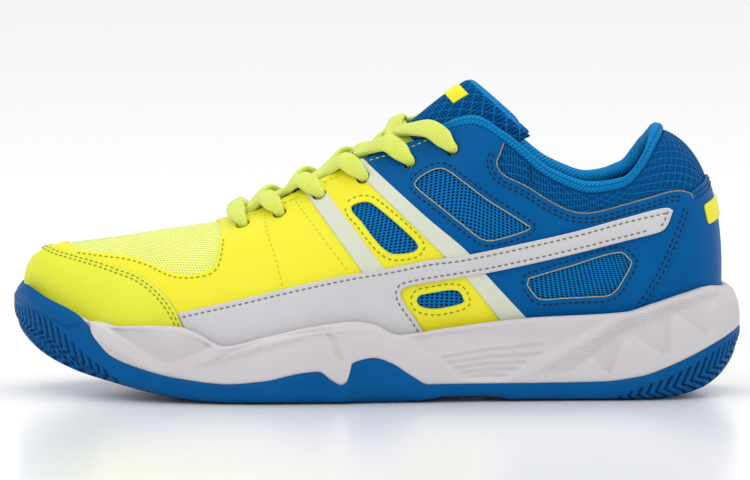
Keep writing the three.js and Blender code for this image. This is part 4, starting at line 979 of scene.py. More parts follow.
# Open-cell foam: pale cream, full of fine pores.
pad_foam = m = new_material("open_cell_foam", "E6D9A8", 0.95)
pores = add(m, "TexVoronoi", {"Vector": add(m, "TexCoord").node.outputs["Object"], "Scale": 1200.0})
finish_with(m, add(m, "Mix", {0: pores, 6: srgb("CDBE8B"), 7: srgb("EFE4BC")}, data_type="RGBA"), pores, 0.0003, 0.8)
for thing, material, slot_name, stands_for in ((vamp_lining, lining_knit, "blue_lining", "vamp_lining"),
                                               (quarter_lining, lining_knit, "blue_lining", "quarter_lining"),
                                               (collar_pad, pad_foam, "padding", "collar_foam")):
    thing.data.materials.append(material)
    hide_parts(stands_for)

# ---------------------------------------------------------------- upper: stiffeners
# Thermoplastic board shapes the toe and the heel counter, and a woven strip backs the eyelets.
# They are fused between the lining and the outer layers.
stiff_board = m = new_material("thermoplastic_stiffener", "D9D2C0", 0.8)
fleck = add(m, "TexNoise", {"Vector": add(m, "TexCoord").node.outputs["Object"], "Scale": 600.0, "Detail": 3.0})
finish_with(m, add(m, "Mix", {0: fleck, 6: srgb("CEC6B0"), 7: srgb("E5DFD0")}, data_type="RGBA"), fleck, 0.0001, 0.5)
toe_puff = cut_sheet("toe_stiffener", rectangle(16.4, 19.6, 0.03, 0.62), [], *STIFFENER_LAYER)
counter = cut_sheet("heel_counter_board", rectangle(-4.2, 4.2, 0.02, 0.56), [], *STIFFENER_LAYER)
for thing, stands_for in ((toe_puff, "toe_puff"), (counter, "heel_counter")):
    thing.data.materials.append(stiff_board)
    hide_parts(stands_for)
for side, name in ((-1, "lateral"), (1, "medial")):
    first, second = sorted((sideways(7.9, side), sideways(13.3, side)))
    strip = cut_sheet(f"eyelet_backing_{name}", rectangle(first, second, 0.79, 0.985), eyelet_loops(side),
                      *STIFFENER_LAYER[:2], 3.0, 1.4)
    strip.data.materials.append(stiff_board)
    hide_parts(f"eyestay_reinforcement_{name}")

# ---------------------------------------------------------------- upper: knitted meshes
# Warp-knitted polyester: an open pale yellow net over the toes, a blue one with slanted holes in the side
# windows, and a small-holed blue one with a raised diamond lattice round the ankle.
def sines(m, *terms):
    """A sine for each pair of weights along and across the cloth, in turns per millimetre."""
    flat = add(m, "SeparateXYZ", {0: add(m, "Attribute", attribute_name="cloth").node.outputs["Vector"]}).node.outputs
    made = []
    for a, b in terms:
        first = add(m, "Math", {0: flat[0], 1: 2 * math.pi * a}, operation="MULTIPLY")
        both = add(m, "Math", {0: flat[1], 1: 2 * math.pi * b, 2: first}, operation="MULTIPLY_ADD")
        made.append(add(m, "Math", {0: both}, operation="SINE"))
    return made


# Side net: holes 1.7 by 1.1 mm in staggered rows, leaning forward, painted near-black: painted shade of the gap down
# to the lining behind.
side_net = m = new_material("warp_knit_side_net", "00589A", 0.8, Specular_IOR_Level=0.05)
warp, weft = sines(m, (1 / 3.4, 1 / 2.5), (1 / 3.4 + 0.06, -1 / 2.1))
holes = add(m, "MapRange", {0: add(m, "Math", {0: warp, 1: weft}, operation="MULTIPLY"), 1: 0.16, 2: 0.5})
# The holes take a near-black blue: painted shade, not the colour of the yarn or the lining.
tone = add(m, "Mix", {0: holes, 6: srgb("0A6DB0"), 7: srgb("00112E")}, data_type="RGBA")
flat = add(m, "Math", {0: 1.0, 1: holes}, operation="SUBTRACT")
finish_with(m, tone, flat, 0.0006, 0.9)

# Toe net: square holes a millimetre apart under faint paler diagonal yarns; the holes are painted a darker olive, as
# painted shade inside them.
toe_net = m = new_material("open_knit_toe_net", "EEF77C", 0.7, Sheen_Weight=0.15)
warp, weft, left, right = sines(m, (1 / 1.35, 0.0), (0.0, 1 / 1.45), (1 / 16, 1 / 11), (1 / 16, -1 / 11))
holes = add(m, "MapRange", {0: add(m, "Math", {0: warp, 1: weft}, operation="MINIMUM"), 1: -0.35, 2: 0.25})
yarn = add(m, "Math", {0: add(m, "Math", {0: left}, operation="ABSOLUTE"),
                       1: add(m, "Math", {0: right}, operation="ABSOLUTE")}, operation="MINIMUM")
yarn = add(m, "MapRange", {0: yarn, 1: 0.0, 2: 0.22, 3: 1.0, 4: 0.0})
patchy = add(m, "TexNoise", {"Vector": add(m, "TexCoord").node.outputs["Object"], "Scale": 70.0})
ground_tone = add(m, "Mix", {0: yarn, 6: srgb("F2FA76"), 7: srgb("F6FBC4")}, data_type="RGBA")
# The holes take a patchy darker olive: painted shade inside the holes.
hole_painted_shade = add(m, "Mix", {0: patchy, 6: srgb("AEBB28"), 7: srgb("D6E04E")}, data_type="RGBA")
tone = add(m, "Mix", {0: holes, 6: ground_tone, 7: hole_painted_shade}, data_type="RGBA")
cloth_part = add(m, "Math", {0: 1.0, 1: holes}, operation="SUBTRACT")
relief = add(m, "Math", {0: yarn, 1: 0.6, 2: cloth_part}, operation="MULTIPLY_ADD")
finish_with(m, tone, relief, 0.0004, 0.7)

# Ankle net: fine round holes 1.2 mm apart, painted dark navy as painted shade, and lighter raised yarns crossing in
# diamonds 7 mm wide.
ankle_net = m = new_material("spacer_knit_ankle_net", "005FA0", 0.8, Specular_IOR_Level=0.05)
warp, weft, left, right = sines(m, (1 / 2.4, 1 / 2.4), (1 / 2.4, -1 / 2.4), (1 / 13.5, 1 / 9), (1 / 13.5, -1 / 9))
holes = add(m, "MapRange", {0: add(m, "Math", {0: warp, 1: weft}, operation="MULTIPLY"), 1: 0.05, 2: 0.4})
yarn = add(m, "Math", {0: add(m, "Math", {0: left}, operation="ABSOLUTE"),
                       1: add(m, "Math", {0: right}, operation="ABSOLUTE")}, operation="MINIMUM")
yarn = add(m, "MapRange", {0: yarn, 1: 0.05, 2: 0.34, 3: 1.0, 4: 0.0})
yarn_free = add(m, "Math", {0: 1.0, 1: yarn}, operation="SUBTRACT")
open_part = add(m, "Math", {0: holes, 1: yarn_free}, operation="MULTIPLY")
tone = add(m, "Mix", {0: yarn, 6: srgb("00589A"), 7: srgb("1478B8")}, data_type="RGBA")
# The open holes are painted a dark navy: painted shade behind the net.
tone = add(m, "Mix", {0: open_part, 6: tone, 7: srgb("001F48")}, data_type="RGBA")
cloth_part = add(m, "Math", {0: 1.0, 1: open_part}, operation="SUBTRACT")
relief = add(m, "Math", {0: yarn, 1: 1.0, 2: cloth_part}, operation="MULTIPLY_ADD")
finish_with(m, tone, relief, 0.0005, 0.8)

NET_SPLIT = 12.35
toe_mesh = cut_sheet("toe_net", rectangle(NET_SPLIT, LOOP - NET_SPLIT, 0.0, 1), [eyelet_loops(k)[0] for k in (-1, 1)],
                     *NET_LAYER)
close_ridge(toe_mesh)
heel_mesh = cut_sheet("ankle_net", rectangle(-REAR_SPLIT, REAR_SPLIT, 0.0, 1), [], *NET_LAYER)
meshes = [(toe_mesh, toe_net, "yellow_mesh", "vamp_mesh"), (heel_mesh, ankle_net, "blue_mesh", "heel_mesh")]
for side, name in ((-1, "lateral"), (1, "medial")):
    first, second = sorted((sideways(REAR_SPLIT + 0.02, side), sideways(NET_SPLIT - 0.02, side)))
    net = cut_sheet(f"side_net_{name}", rectangle(first, second, 0, 1), eyelet_loops(side)[1:], *NET_LAYER)
    meshes.append((net, side_net, "blue_mesh", f"side_mesh_{name}"))
for thing, material, slot_name, stands_for in meshes:
    thing.data.materials.append(material)
    if thing is not toe_mesh:
        # Under the quarter panel the ankle net gives way to the side net that shows in the rear windows.
        thing.data.materials.clear()
        thing.data.materials.append(ankle_net)
        thing.data.materials.append(side_net)
        for face in thing.data.polygons:
            x, y, z = face.center / MM
            seen_z = z * 0.996 + (50 - abs(y)) * 0.087
            change = np.interp(x, (46, 46.1, 50, 62, 84, 104, 128), (200, 94, 89, 82, 73, 77, 79))
            face.material_index = int(seen_z < change)
    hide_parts(stands_for)

# ---------------------------------------------------------------- upper: sewn overlays
# Die-cut sheets of coated microfibre, 0.7 mm thick, are laid over the meshes and sewn along their edges.
# Windows cut in them show the mesh, with the raw tan edge of the sheet round each.
def stitch_line(lines, offset, pitch=2.6, dash=1.75, radius=0.3):
    """The threads that show along seam lines: short rounded floats whose ends dive into the sheet."""
    vertices, faces = [], []
    along = np.array([0, 0.1, 0.3, 0.7, 0.9, 1.0])
    girth = np.array([0.35, 0.8, 1, 1, 0.8, 0.35]) * radius
    lift = np.array([-0.3, 0.02, 0.12, 0.12, 0.02, -0.3])
    angle = np.arange(6) * np.pi / 3
    for line in lines:
        run = at_offset(line, offset)
        length = np.concatenate([[0], np.cumsum(np.linalg.norm(np.diff(run, axis=0), axis=1))])
        count = int(length[-1] // pitch)
        if count < 2:
            continue
        starts = (length[-1] - count * pitch) / 2 + np.arange(count) * pitch + (pitch - dash) / 2
        at = starts[:, None] + along[None] * dash
        ab = np.stack([np.interp(at, length, line[:, k]) for k in (0, 1)], -1)
        flat = ab.reshape(-1, 2)
        centre = at_offset(flat, offset).reshape(ab.shape[:2] + (3,))
        up = last_normal(flat[:, 0] / A_SCALE, np.clip(flat[:, 1] / B_SCALE, 0, 1)).reshape(centre.shape)
        ahead = centre[:, -1:] - centre[:, :1]
        ahead = ahead / np.linalg.norm(ahead, axis=-1, keepdims=True)
        across = np.cross(ahead, up)
        across /= np.linalg.norm(across, axis=-1, keepdims=True)
        centre = centre + up * lift[None, :, None]
        ring = (centre[:, :, None] + across[:, :, None] * (girth[:, None] * np.cos(angle))[None, :, :, None]
                + up[:, :, None] * (girth[:, None] * 0.75 * np.sin(angle))[None, :, :, None])
        for stitch in ring:
            base = len(vertices)
            vertices.extend(stitch.reshape(-1, 3))
            faces += ring_faces(6, 6, offset=base)
            faces += [[base + k for k in range(6)][::-1], [base + 30 + k for k in range(6)]]
    return vertices, faces


def turn_outward(thing):
    """Turns every face of a closed shape outwards."""
    work = bmesh.new()
    work.from_mesh(thing.data)
    bmesh.ops.recalc_face_normals(work, faces=work.faces)
    work.to_mesh(thing.data)
    work.free()


def sew(name, lines, offset, material, slot_name, **sizes):
    vertices, faces = stitch_line(lines, offset, **sizes)
    thread = solid(name, vertices, faces)
    turn_outward(thread)
    thread.data.materials.append(material)
    return thread


def beside(points, distance):
    """A line in the side view moved to its left."""
    p = trace(points, closed=False, step=0.8)
    d = np.gradient(p, axis=0)
    d /= np.linalg.norm(d, axis=1, keepdims=True)
    moved = p + np.stack([-d[:, 1], d[:, 0]], -1) * distance
    near = np.array([np.min(np.hypot(*(p - q).T)) for q in moved])
    return moved[near > abs(distance) * 0.93] if distance else moved


def around(points, distance):
    """A closed line in the side view, moved outwards."""
    p = trace(points)
    area = (p[:, 0] * np.roll(p[:, 1], -1) - np.roll(p[:, 0], -1) * p[:, 1]).sum()
    d = np.roll(p, -1, 0) - np.roll(p, 1, 0)
    d /= np.linalg.norm(d, axis=1, keepdims=True)
    moved = p + np.stack([d[:, 1], -d[:, 0]], -1) * distance * np.sign(area)
    near = np.array([np.min(np.hypot(*(p - q).T)) for q in moved])
    moved = moved[near > abs(distance) * 0.93]
    return np.vstack([moved, moved[:1]])


def bead(name, loops, offset, radius):
    """A thin raised line that follows closed lines on the surface."""
    vertices, faces = [], []
    angle = np.arange(6) * np.pi / 3
    for loop in loops:
        ab = even(loop, 0.9, metric=lambda q: at_offset(q, 0))
        centre = at_offset(ab, offset)
        up = last_normal(ab[:, 0] / A_SCALE, np.clip(ab[:, 1] / B_SCALE, 0, 1))
        ahead = np.roll(centre, -1, 0) - np.roll(centre, 1, 0)
        across = np.cross(ahead / np.linalg.norm(ahead, axis=1, keepdims=True), up)
        ring = centre[:, None] + radius * (across[:, None] * np.cos(angle)[None, :, None]
                                           + up[:, None] * np.sin(angle)[None, :, None])
        faces += ring_faces(len(ab), 6, closed_rings=True, offset=len(vertices))
        vertices.extend(ring.reshape(-1, 3))
    made = solid(name, vertices, faces)
    turn_outward(made)
    return made


def coated_skin(name, base, deep, grain_mm, roughness, crease=0.25):
    """Polyurethane-coated microfibre: even colour, fine pebble grain, soft broad wrinkles, satin gloss."""
    m = new_material(name, base, roughness, Specular_IOR_Level=0.05 if name.startswith("blue") else 0.3)
    place = add(m, "TexCoord").node.outputs["Object"]
    pebble = add(m, "TexVoronoi", {"Vector": place, "Scale": 1000 / grain_mm}, feature="SMOOTH_F1")
    soft = add(m, "TexNoise", {"Vector": place, "Scale": 45.0, "Detail": 2.0})
    tone = add(m, "Mix", {0: soft, 6: srgb(deep), 7: srgb(base)}, data_type="RGBA")
    height = add(m, "Math", {0: soft, 1: crease * 10, 2: pebble}, operation="MULTIPLY_ADD")
    gloss = add(m, "MapRange", {0: soft, 3: roughness - 0.06, 4: roughness + 0.08})
    finish_with(m, tone, height, 0.00007, 0.8, gloss)
    return m


def thread_of(name, base):
    """Bonded polyester sewing thread: dull, with a slight sheen and a twist too fine to draw."""
    m = new_material(name, base, 0.7, Sheen_Weight=0.05, Specular_IOR_Level=0.2)
    twist = add(m, "TexNoise", {"Vector": add(m, "TexCoord").node.outputs["Object"], "Scale": 2500.0})
    finish_with(m, None, twist, 0.00008, 0.6)
    return m


yellow_skin = coated_skin("yellow_coated_microfibre", "EFE72B", "E8E01F", 0.7, 0.44, 0.12)
toe_skin = coated_skin("toe_cap_coated_microfibre", "E4E836", "DCE02E", 0.7, 0.42, 0.12)
blue_skin = coated_skin("blue_coated_microfibre", "005C9C", "00528E", 0.8, 0.42, 0.3)
stripe_skin = coated_skin("off_white_coated_microfibre", "D6DAC8", "CDD2BE", 0.9, 0.46, 0.2)
band_skin = coated_skin("grey_white_coated_microfibre", "CCCACD", "C4C2C6", 0.9, 0.5, 0.2)
olive_thread = thread_of("olive_thread", "8A9A1E")
black_thread = thread_of("black_thread", "10202E")
grey_thread = thread_of("olive_grey_thread", "6E7546")
lime_thread = thread_of("lime_thread", "C9D84A")
cut_edge = m = new_material("raw_cut_edge", "B9A77E", 0.8)
fray = add(m, "TexNoise", {"Vector": add(m, "TexCoord").node.outputs["Object"], "Scale": 1500.0})
finish_with(m, add(m, "Mix", {0: fray, 6: srgb("A08D66"), 7: srgb("CDBD96")}, data_type="RGBA"), fray, 0.0001, 0.6)
pale_edge = m = new_material("pale_cut_edge", "CFD2B8", 0.8)
fray = add(m, "TexNoise", {"Vector": add(m, "TexCoord").node.outputs["Object"], "Scale": 1500.0})
finish_with(m, add(m, "Mix", {0: fray, 6: srgb("C0C4A4"), 7: srgb("DDE0CC")}, data_type="RGBA"), fray, 0.0001, 0.6)

# Outlines are given as they show from the side, in millimetres from the middle of the shoe and the ground.
CAP_EDGE = [(-76.2, 26.5), (-76.5, 28.8), (-78.5, 33), (-81, 38), (-84, 42), (-88, 46), (-92, 49), (-97, 52),
            (-103, 54), (-110, 56.5), (-122, 59.8), (-131, 62.2)]
NET_EDGE = [(-63.3, 73.5), (-63, 67), (-63.6, 62), (-64.4, 57), (-65.8, 54.5), (-68, 53), (-72, 52.2), (-77, 51.8),
            (-81.5, 52.3), (-86, 54), (-91, 56.5), (-97, 58.5), (-103, 59.8), (-110, 60.6), (-122, 62.2)]
FRONT_LINE = [(-26.5, 90), (-24.5, 86), (-18, 77), (-3, 53.5), (6, 44), (16, 33), (21, 25)]
REAR_LINE = [(-7, 97.5), (-2.5, 92), (15, 75), (32, 59), (47.5, 42), (57, 30)]
HEEL_LINE = [(104.5, 31), (106, 36.5), (108.5, 38.5), (113, 45.5), (117, 52.5), (121, 61.5), (125, 71),
             (127.3, 78), (127.8, 82)]
ANKLE_LINE = [(127.8, 82), (127, 84.2), (123, 85.2), (118, 84.8), (110, 82.5), (100, 79.8), (90, 77), (84, 76.2),
              (78, 77), (70, 80.8), (60, 87), (51, 91.5), (49, 93.8), (48.2, 96.5), (49.5, 100), (51.5, 105)]
WINDOW_1 = [(-10.5, 79), (-9, 80.2), (-5, 81.2), (-2.5, 80.7), (0, 79), (10, 70.5), (16, 64.5), (17, 62.5),
            (15.5, 60.8), (9, 59.6), (5.5, 60), (2, 62.5), (-2, 67), (-6, 72.5), (-10, 77)]
WINDOW_2 = [(15, 88), (17, 90.5), (22, 93.5), (25.5, 94.3), (28, 93.6), (35, 88.5), (45, 81), (55, 74.8),
            (61.8, 70.3), (60.5, 69.3), (50, 65.8), (45, 65), (41.5, 66), (35, 71), (25, 79), (16, 86.5)]
WINDOW_3 = [(60.5, 47), (61, 49.8), (70, 52.5), (80, 55.5), (90, 58.8), (95, 60), (98.5, 60.2), (102.5, 56.5),
            (102, 55), (100, 51), (94.5, 43.5), (85, 42.3), (75, 41.8), (66.5, 41.3), (64.5, 42)]
WINDOW_4 = [(16, 41), (17, 43), (19.5, 43.7), (31, 45.3), (33.5, 44.5), (35.5, 40.5), (34, 39.6), (25, 37.6),
            (20, 37.8), (17, 39)]
BAND_TOP = [(-79.5, 36), (-65, 39.2), (-50, 42.6), (-38, 45.5), (-20, 49.5), (-10, 51.5), (5, 54), (20, 57), (35, 59),
            (60, 64.2), (80, 68.8), (100, 74.3), (117, 78.2), (119, 77.2)]
BAND_UNDER = [(119, 77.2), (116.5, 71), (114.5, 69), (110, 67.5), (100, 65), (80, 59.9), (60, 55.3), (44, 52),
              (35, 50.5), (15, 47.2), (10.5, 46), (9.5, 44), (11, 40), (15, 34.5), (19, 28.3)]


def on_side(points, side, closed=False, level=0.5, keep=False):
    return on_shell(points if keep else trace(points, closed=closed), side, level)


def crest_run(first, second, side):
    """Part of the top line of one side, from one station to another."""
    u = np.linspace(first, second, 60)
    return spread_out(np.column_stack([sideways(u, side) if side < 0 else LOOP - u, np.ones(60)]))


def sole_run(first, second, height=0.03):
    a = np.linspace(first, second, max(4, int(abs(second - first) / 3)))
    return np.column_stack([a, np.full(len(a), height * B_SCALE)])


def tip_height(x):
    t = np.linspace(0, 1, 400)
    return float(t[np.argmax(last(np.full(400, TOE), t)[:, 0] > x)])


def both_sides(points, tip=None):
    """A line from the outer side over the toe tip to the inner side."""
    one = on_side(points, -1)
    two = on_side(points, 1)[::-1]
    middle = [] if tip is None else [spread_out([(TOE, tip)])]
    keep_one = one[one[:, 0] < (TOE - 0.5) * A_SCALE]
    keep_two = two[two[:, 0] > (TOE + 0.5) * A_SCALE]
    rough = np.vstack([keep_one, *middle, keep_two])
    return rough


def fair(line, passes=3):
    """Takes small jogs out of a line, but leaves its ends."""
    line = np.array(line)
    for _ in range(passes):
        line[1:-1] = (line[:-2] + 2 * line[1:-1] + line[2:]) / 4
    return line


cap_tip, net_tip = tip_height(-132.5), tip_height(-127)
cap_edge = fair(even(both_sides(CAP_EDGE, cap_tip), 2.0, closed=False), 6)
net_edge = even(both_sides(NET_EDGE, net_tip), 1.5, closed=False)
net_edge[0] = spread_out([(14.3, 1)])
net_edge[-1] = spread_out([(LOOP - 14.3, 1)])
net_edge = fair(net_edge, 5)

front_lines = {side: on_side(FRONT_LINE, side) for side in (-1, 1)}
rear_lines = {side: on_side(REAR_LINE, side) for side in (-1, 1)}
front_top = {side: station(front_lines[side][0, 0] / A_SCALE)[0] for side in (-1, 1)}
rear_top = {side: station(rear_lines[side][0, 0] / A_SCALE)[0] for side in (-1, 1)}
outline = np.vstack([
    sole_run(front_lines[-1][-1, 0], front_lines[1][-1, 0]), front_lines[1][::-1], crest_run(front_top[1], 14, 1),
    crest_run(14, 14.3, 1), net_edge[::-1], crest_run(14.3, 14, -1), crest_run(14, front_top[-1], -1),
    front_lines[-1]])
rows = {side: [eyelet_loops(side)[k] for k in range(6)] for side in (-1, 1)}
vamp = cut_sheet("vamp_overlay_skin", outline, rows[-1][:3] + rows[1][:3], *SKIN_LAYER, rounded=0.3, root=-1.6)
close_ridge(vamp)
vamp.data.materials.append(yellow_skin)
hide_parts("vamp_overlay")

outline = np.vstack([sole_run(cap_edge[0, 0], cap_edge[-1, 0], 0.01), cap_edge[::-1]])
cap = cut_sheet("toe_cap_skin", outline, [], 0.0, 1.0, 2.4, 0.8, rounded=0.5, dips=(1.3, 2.8), root=-0.6)
cap.data.materials.append(toe_skin)
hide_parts("toe_cap")

for side, name in ((-1, "lateral"), (1, "medial")):
    front, rear = front_lines[side], rear_lines[side]
    yellow_windows = [on_side(w, side, closed=True) for w in (WINDOW_1, WINDOW_4)]
    outline = np.vstack([front[::-1], crest_run(front_top[side], rear_top[side], side), rear,
                         sole_run(rear[-1, 0], front[-1, 0])[1:-1]])
    mid = cut_sheet(f"mid_panel_skin_{name}", outline, yellow_windows + rows[side][2:4], *SKIN_LAYER,
                    rounded=0.3, root=-1.4)
    mid.data.materials.append(yellow_skin)
    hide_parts(f"mid_panel_{name}")

    ankle, heel = on_side(ANKLE_LINE, side), on_side(HEEL_LINE, side)
    top_u = station(ankle[-1, 0] / A_SCALE)[0]
    outline = np.vstack([rear[::-1], crest_run(rear_top[side], top_u, side), ankle[::-1], heel[::-1],
                         sole_run(heel[0, 0], rear[-1, 0])[1:-1]])
    blue_windows = [on_side(w, side, closed=True) for w in (WINDOW_2, WINDOW_3)]
    quarter = cut_sheet(f"quarter_panel_skin_{name}", outline, blue_windows + rows[side][3:],
                        *SKIN_LAYER, rounded=0.3, root=-1.4)
    quarter.data.materials.append(blue_skin)
    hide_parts(f"quarter_panel_{name}")

    outline = np.vstack([on_side([(-30.3, 86.6), (-27, 82), (-5.5, 52.3), (-2, 47)], side),
                         on_side([(7, 48.5), (3, 54), (-20.5, 85), (-24.2, 90)], side)])
    stripe = cut_sheet(f"front_stripe_skin_{name}", outline, [rows[side][2]], *STRIPE_LAYER, rounded=0.35, root=-0.5)
    stripe_front = [(-10.7, 95.6), (-5.5, 90.5), (10, 75.5), (28, 58), (35.5, 50.5), (50.5, 32), (54, 27.5)]
    stripe_rear = [(65, 28.5), (61, 33), (43.5, 52), (37, 60), (20, 74.5), (-1, 93.8), (-5.8, 98.5)]
    outline = np.vstack([on_side(stripe_front, side), on_side(stripe_rear, side)])
    rear_stripe = cut_sheet(f"rear_stripe_skin_{name}", outline, [rows[side][3]], *STRIPE_LAYER,
                            rounded=0.35, root=-0.5)
    for thing, stands_for in ((stripe, f"front_stripe_{name}"), (rear_stripe, f"rear_stripe_{name}")):
        thing.data.materials.append(stripe_skin)
        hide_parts(stands_for)

    band_top, band_under = on_side(BAND_TOP, side, level=1.5), on_side(BAND_UNDER, side, level=1.5)
    band_end = on_side([(-75.8, 26), (-76.5, 28.8), (-79.5, 36)], side, level=1.5)
    band_foot = sole_run(band_under[-1, 0], band_end[0, 0], 0.05)[1:-1]
    outline = np.vstack([band_top, band_under[1:], band_foot, band_end[:-1]])
    band = cut_sheet(f"side_band_skin_{name}", outline, [], 0.9, 1.9, 2.6, 0.9, rounded=0.45, dips=(1.9,), root=-0.5)
    band.data.materials.append(band_skin)
    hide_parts(f"side_band_{name}")

    ankle_edge = np.vstack([ankle, ankle[::-1] + (0.002, 0.002)])
    edges = bead(f"window_cut_edges_{name}", blue_windows + [ankle_edge], -0.05, 0.22)
    edges.data.materials.append(cut_edge)
    edges_2 = bead(f"yellow_window_cut_edges_{name}", yellow_windows, -0.15, 0.22)
    edges_2.data.materials.append(lime_thread)

    yellow_rows = [on_shell(around(w, 2.3), side) for w in (WINDOW_1, WINDOW_4)]
    lime_rows = [on_side([(-46, 79), (-44, 69), (-41, 60), (-37.5, 46.5)], side),
                 on_side([(-34, 83), (-22, 67), (-11, 52.5)], side)]
    yellow_rows.append(on_shell(beside(NET_EDGE[1:], 1.5), side))
    sew(f"vamp_seams_{name}", lime_rows, 0.02, lime_thread, "yellow_skin", radius=0.26)
    sew(f"vamp_stitching_{name}", yellow_rows, 0.02, olive_thread, "yellow_skin", radius=0.26)
    blue_rows = [on_shell(around(w, 2.1), side) for w in (WINDOW_2, WINDOW_3)]
    blue_rows += [on_shell(beside(ANKLE_LINE[2:-1], d), side) for d in (2.2, 3.8)]
    blue_rows += [on_shell(beside(HEEL_LINE[1:-1], d), side) for d in (1.5, 3.3)]
    sew(f"quarter_stitching_{name}", blue_rows, 0.02, black_thread, "blue_skin")
    band_rows = [beside(BAND_TOP[:-1], -1.9), beside(BAND_UNDER[:3], -1.8), beside(BAND_UNDER[3:], -1.8)]
    sew(f"band_stitching_{name}", [on_shell(row, side, 1.9) for row in band_rows], 1.78, grey_thread, "band_skin",
        radius=0.28)
    throat_low = [(-52, 76.8), (-46, 79), (-34, 84), (-24, 89.5), (-12, 95), (-5, 98.7), (5, 101.7), (13, 104.4),
                  (20, 107.4), (31, 110)]
    sew(f"throat_stitching_{name}", [on_shell(beside(throat_low, -1.7), side)], 0.05, lime_thread, "yellow_skin",
        radius=0.26)

cap_rows = [move_in(fair(even(cap_edge, 0.9, closed=False), 2), d, closed=False)[2:-2] for d in (-1.3, -2.8)]
sew("toe_cap_stitching", cap_rows, 0.88, olive_thread, "toe_skin", radius=0.28)
edge_strip = bead("toe_cap_cut_edge", [np.vstack([cap_edge, cap_edge[::-1] + (0.001, 0.001)])], 0.45, 0.2)
edge_strip.data.materials.append(pale_edge)

# ---------------------------------------------------------------- heel panel and heel patch
# One blue sheet wraps the back of the heel from side to side; a plain yellow patch is fused on it.
def behind(ab):
    """Inner-side coordinates carried back past the middle of the heel, below zero."""
    return np.column_stack([np.where(ab[:, 0] > TOE * A_SCALE, ab[:, 0] - LOOP * A_SCALE, ab[:, 0]), ab[:, 1]])


heel_left, heel_right = on_side(HEEL_LINE, -1), behind(on_side(HEEL_LINE, 1))
top_left = on_side([(127.8, 82), (126.8, 84.8), (130, 86.8), (133, 88.9)], -1)
top_right = behind(on_side([(127.8, 82), (126.8, 84.8), (130, 86.8), (133, 88.9)], 1))
span = np.linspace(top_right[-1, 0], top_left[-1, 0], 20)[1:-1]
peak = (top_left[-1, 1] + top_right[-1, 1]) / 2 + 1.5
middle = np.column_stack([span, np.interp(span, [span[0], 0, span[-1]], [top_right[-1, 1], peak, top_left[-1, 1]])])
top_line = fair(np.vstack([top_right, middle, top_left[::-1]]), 4)
outline = np.vstack([sole_run(heel_right[0, 0], heel_left[0, 0]), heel_left, top_line[::-1], heel_right[::-1]])
heel_panel = cut_sheet("heel_panel_skin", outline, [], *SKIN_LAYER, rounded=0.3, root=-1.4)
heel_panel.data.materials.append(blue_skin)
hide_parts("heel_panel")
even_top = even(top_line, 0.9, closed=False)
heel_rows = [move_in(even_top, -d, closed=False)[2:-2] for d in (1.6, 3.4)]
sew("heel_stitching", heel_rows, 0.02, black_thread, "blue_skin")

patch_side = on_shell([(134.0, 71.5), (134.6, 81)], -1)
low_t, high_t, reach = patch_side[0, 1], patch_side[1, 1], float(patch_side[0, 0])
corner = np.linspace(0, np.pi / 2, 7)
r = 1.6
patch_outline = []
for cx, cy, start in ((reach - r, high_t - r, 0), (-reach + r, high_t - r, 1),
                      (-reach + r, low_t + r, 2), (reach - r, low_t + r, 3)):
    angle = corner + start * np.pi / 2
    patch_outline.append(np.column_stack([cx + r * np.cos(angle), cy + r * np.sin(angle)]))
heel_patch = cut_sheet("heel_patch_plain", np.vstack(patch_outline), [], 0.2, 0.85, 1.8, 0.7, rounded=0.4, root=-0.3)
heel_patch.data.materials.append(yellow_skin)
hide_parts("heel_patch")

# ---------------------------------------------------------------- collar roll
# A knitted blue tape is rolled over the padded top line and sewn down inside and out, so that the edge
# stands as a soft round band from one side of the throat round the heel to the other.
ROLL_END = 9.0
roll_v = np.linspace(-ROLL_END, ROLL_END, 421)
roll_u = np.abs(roll_v)
taper = smooth(ROLL_END - roll_u, -0.2, 1.2)
wall = 0.5 * (-4.0 - padding(roll_v, np.ones(421)))
half_width = 1.6 + (0.7 - wall - 1.6) * taper
radius = 1.4 + (2.6 - 1.4) * taper
rise = last(roll_v, 1.0) - last(roll_v, 0.98)
rise /= np.linalg.norm(rise, axis=1, keepdims=True)
face = last_normal(roll_v, np.ones(421))
centre = on_upper(roll_v, np.ones(421), wall) + rise * (radius + 0.2)[:, None]
SIDES = 28
angle = 2 * np.pi * np.arange(SIDES) / SIDES
swell = 1 + 0.03 * np.sin(roll_v[:, None] * 9 + 1.0) * np.cos(angle)[None]
c = np.sign(np.cos(angle)) * np.abs(np.cos(angle)) ** 0.85
s = np.sign(np.sin(angle)) * np.abs(np.sin(angle)) ** 0.9
ring = (centre[:, None] + face[:, None] * (half_width[:, None] * c * swell)[..., None]
        + rise[:, None] * (radius[:, None] * s * swell)[..., None])
run = np.concatenate([[0], np.cumsum(np.linalg.norm(np.diff(centre, axis=0), axis=1))])
uv = np.stack(np.broadcast_arrays(run[:, None], angle[None] * 3.2, angle[None] * 0), -1)
ends = [list(range(SIDES)), [(len(run) - 1) * SIDES + k for k in range(SIDES)][::-1]]
roll = solid("collar_roll", ring.reshape(-1, 3), ring_faces(len(run), SIDES) + ends, uv=uv.reshape(-1, 3))
turn_outward(roll)
# Knitted tape: mid blue with slanting ribs 1.6 mm apart and a soft sheen on its crown.
tape = m = new_material("knitted_collar_tape", "0083C6", 0.85, Specular_IOR_Level=0.05, Sheen_Weight=0.03)
rib, cross = sines(m, (1 / 1.6, 1 / 2.6), (1 / 1.1, -1 / 1.5))
height = add(m, "Math", {0: cross, 1: 0.45, 2: rib}, operation="MULTIPLY_ADD")
height = add(m, "MapRange", {0: height, 1: -1.4, 2: 1.4})
patchy = add(m, "TexNoise", {"Vector": add(m, "TexCoord").node.outputs["Object"], "Scale": 90.0})
tone = add(m, "Mix", {0: height, 6: srgb("0063A2"), 7: srgb("1095D7")}, data_type="RGBA")
finish_with(m, tone, height, 0.0004, 0.8)
roll.data.materials.append(tape)
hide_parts("collar_binding")

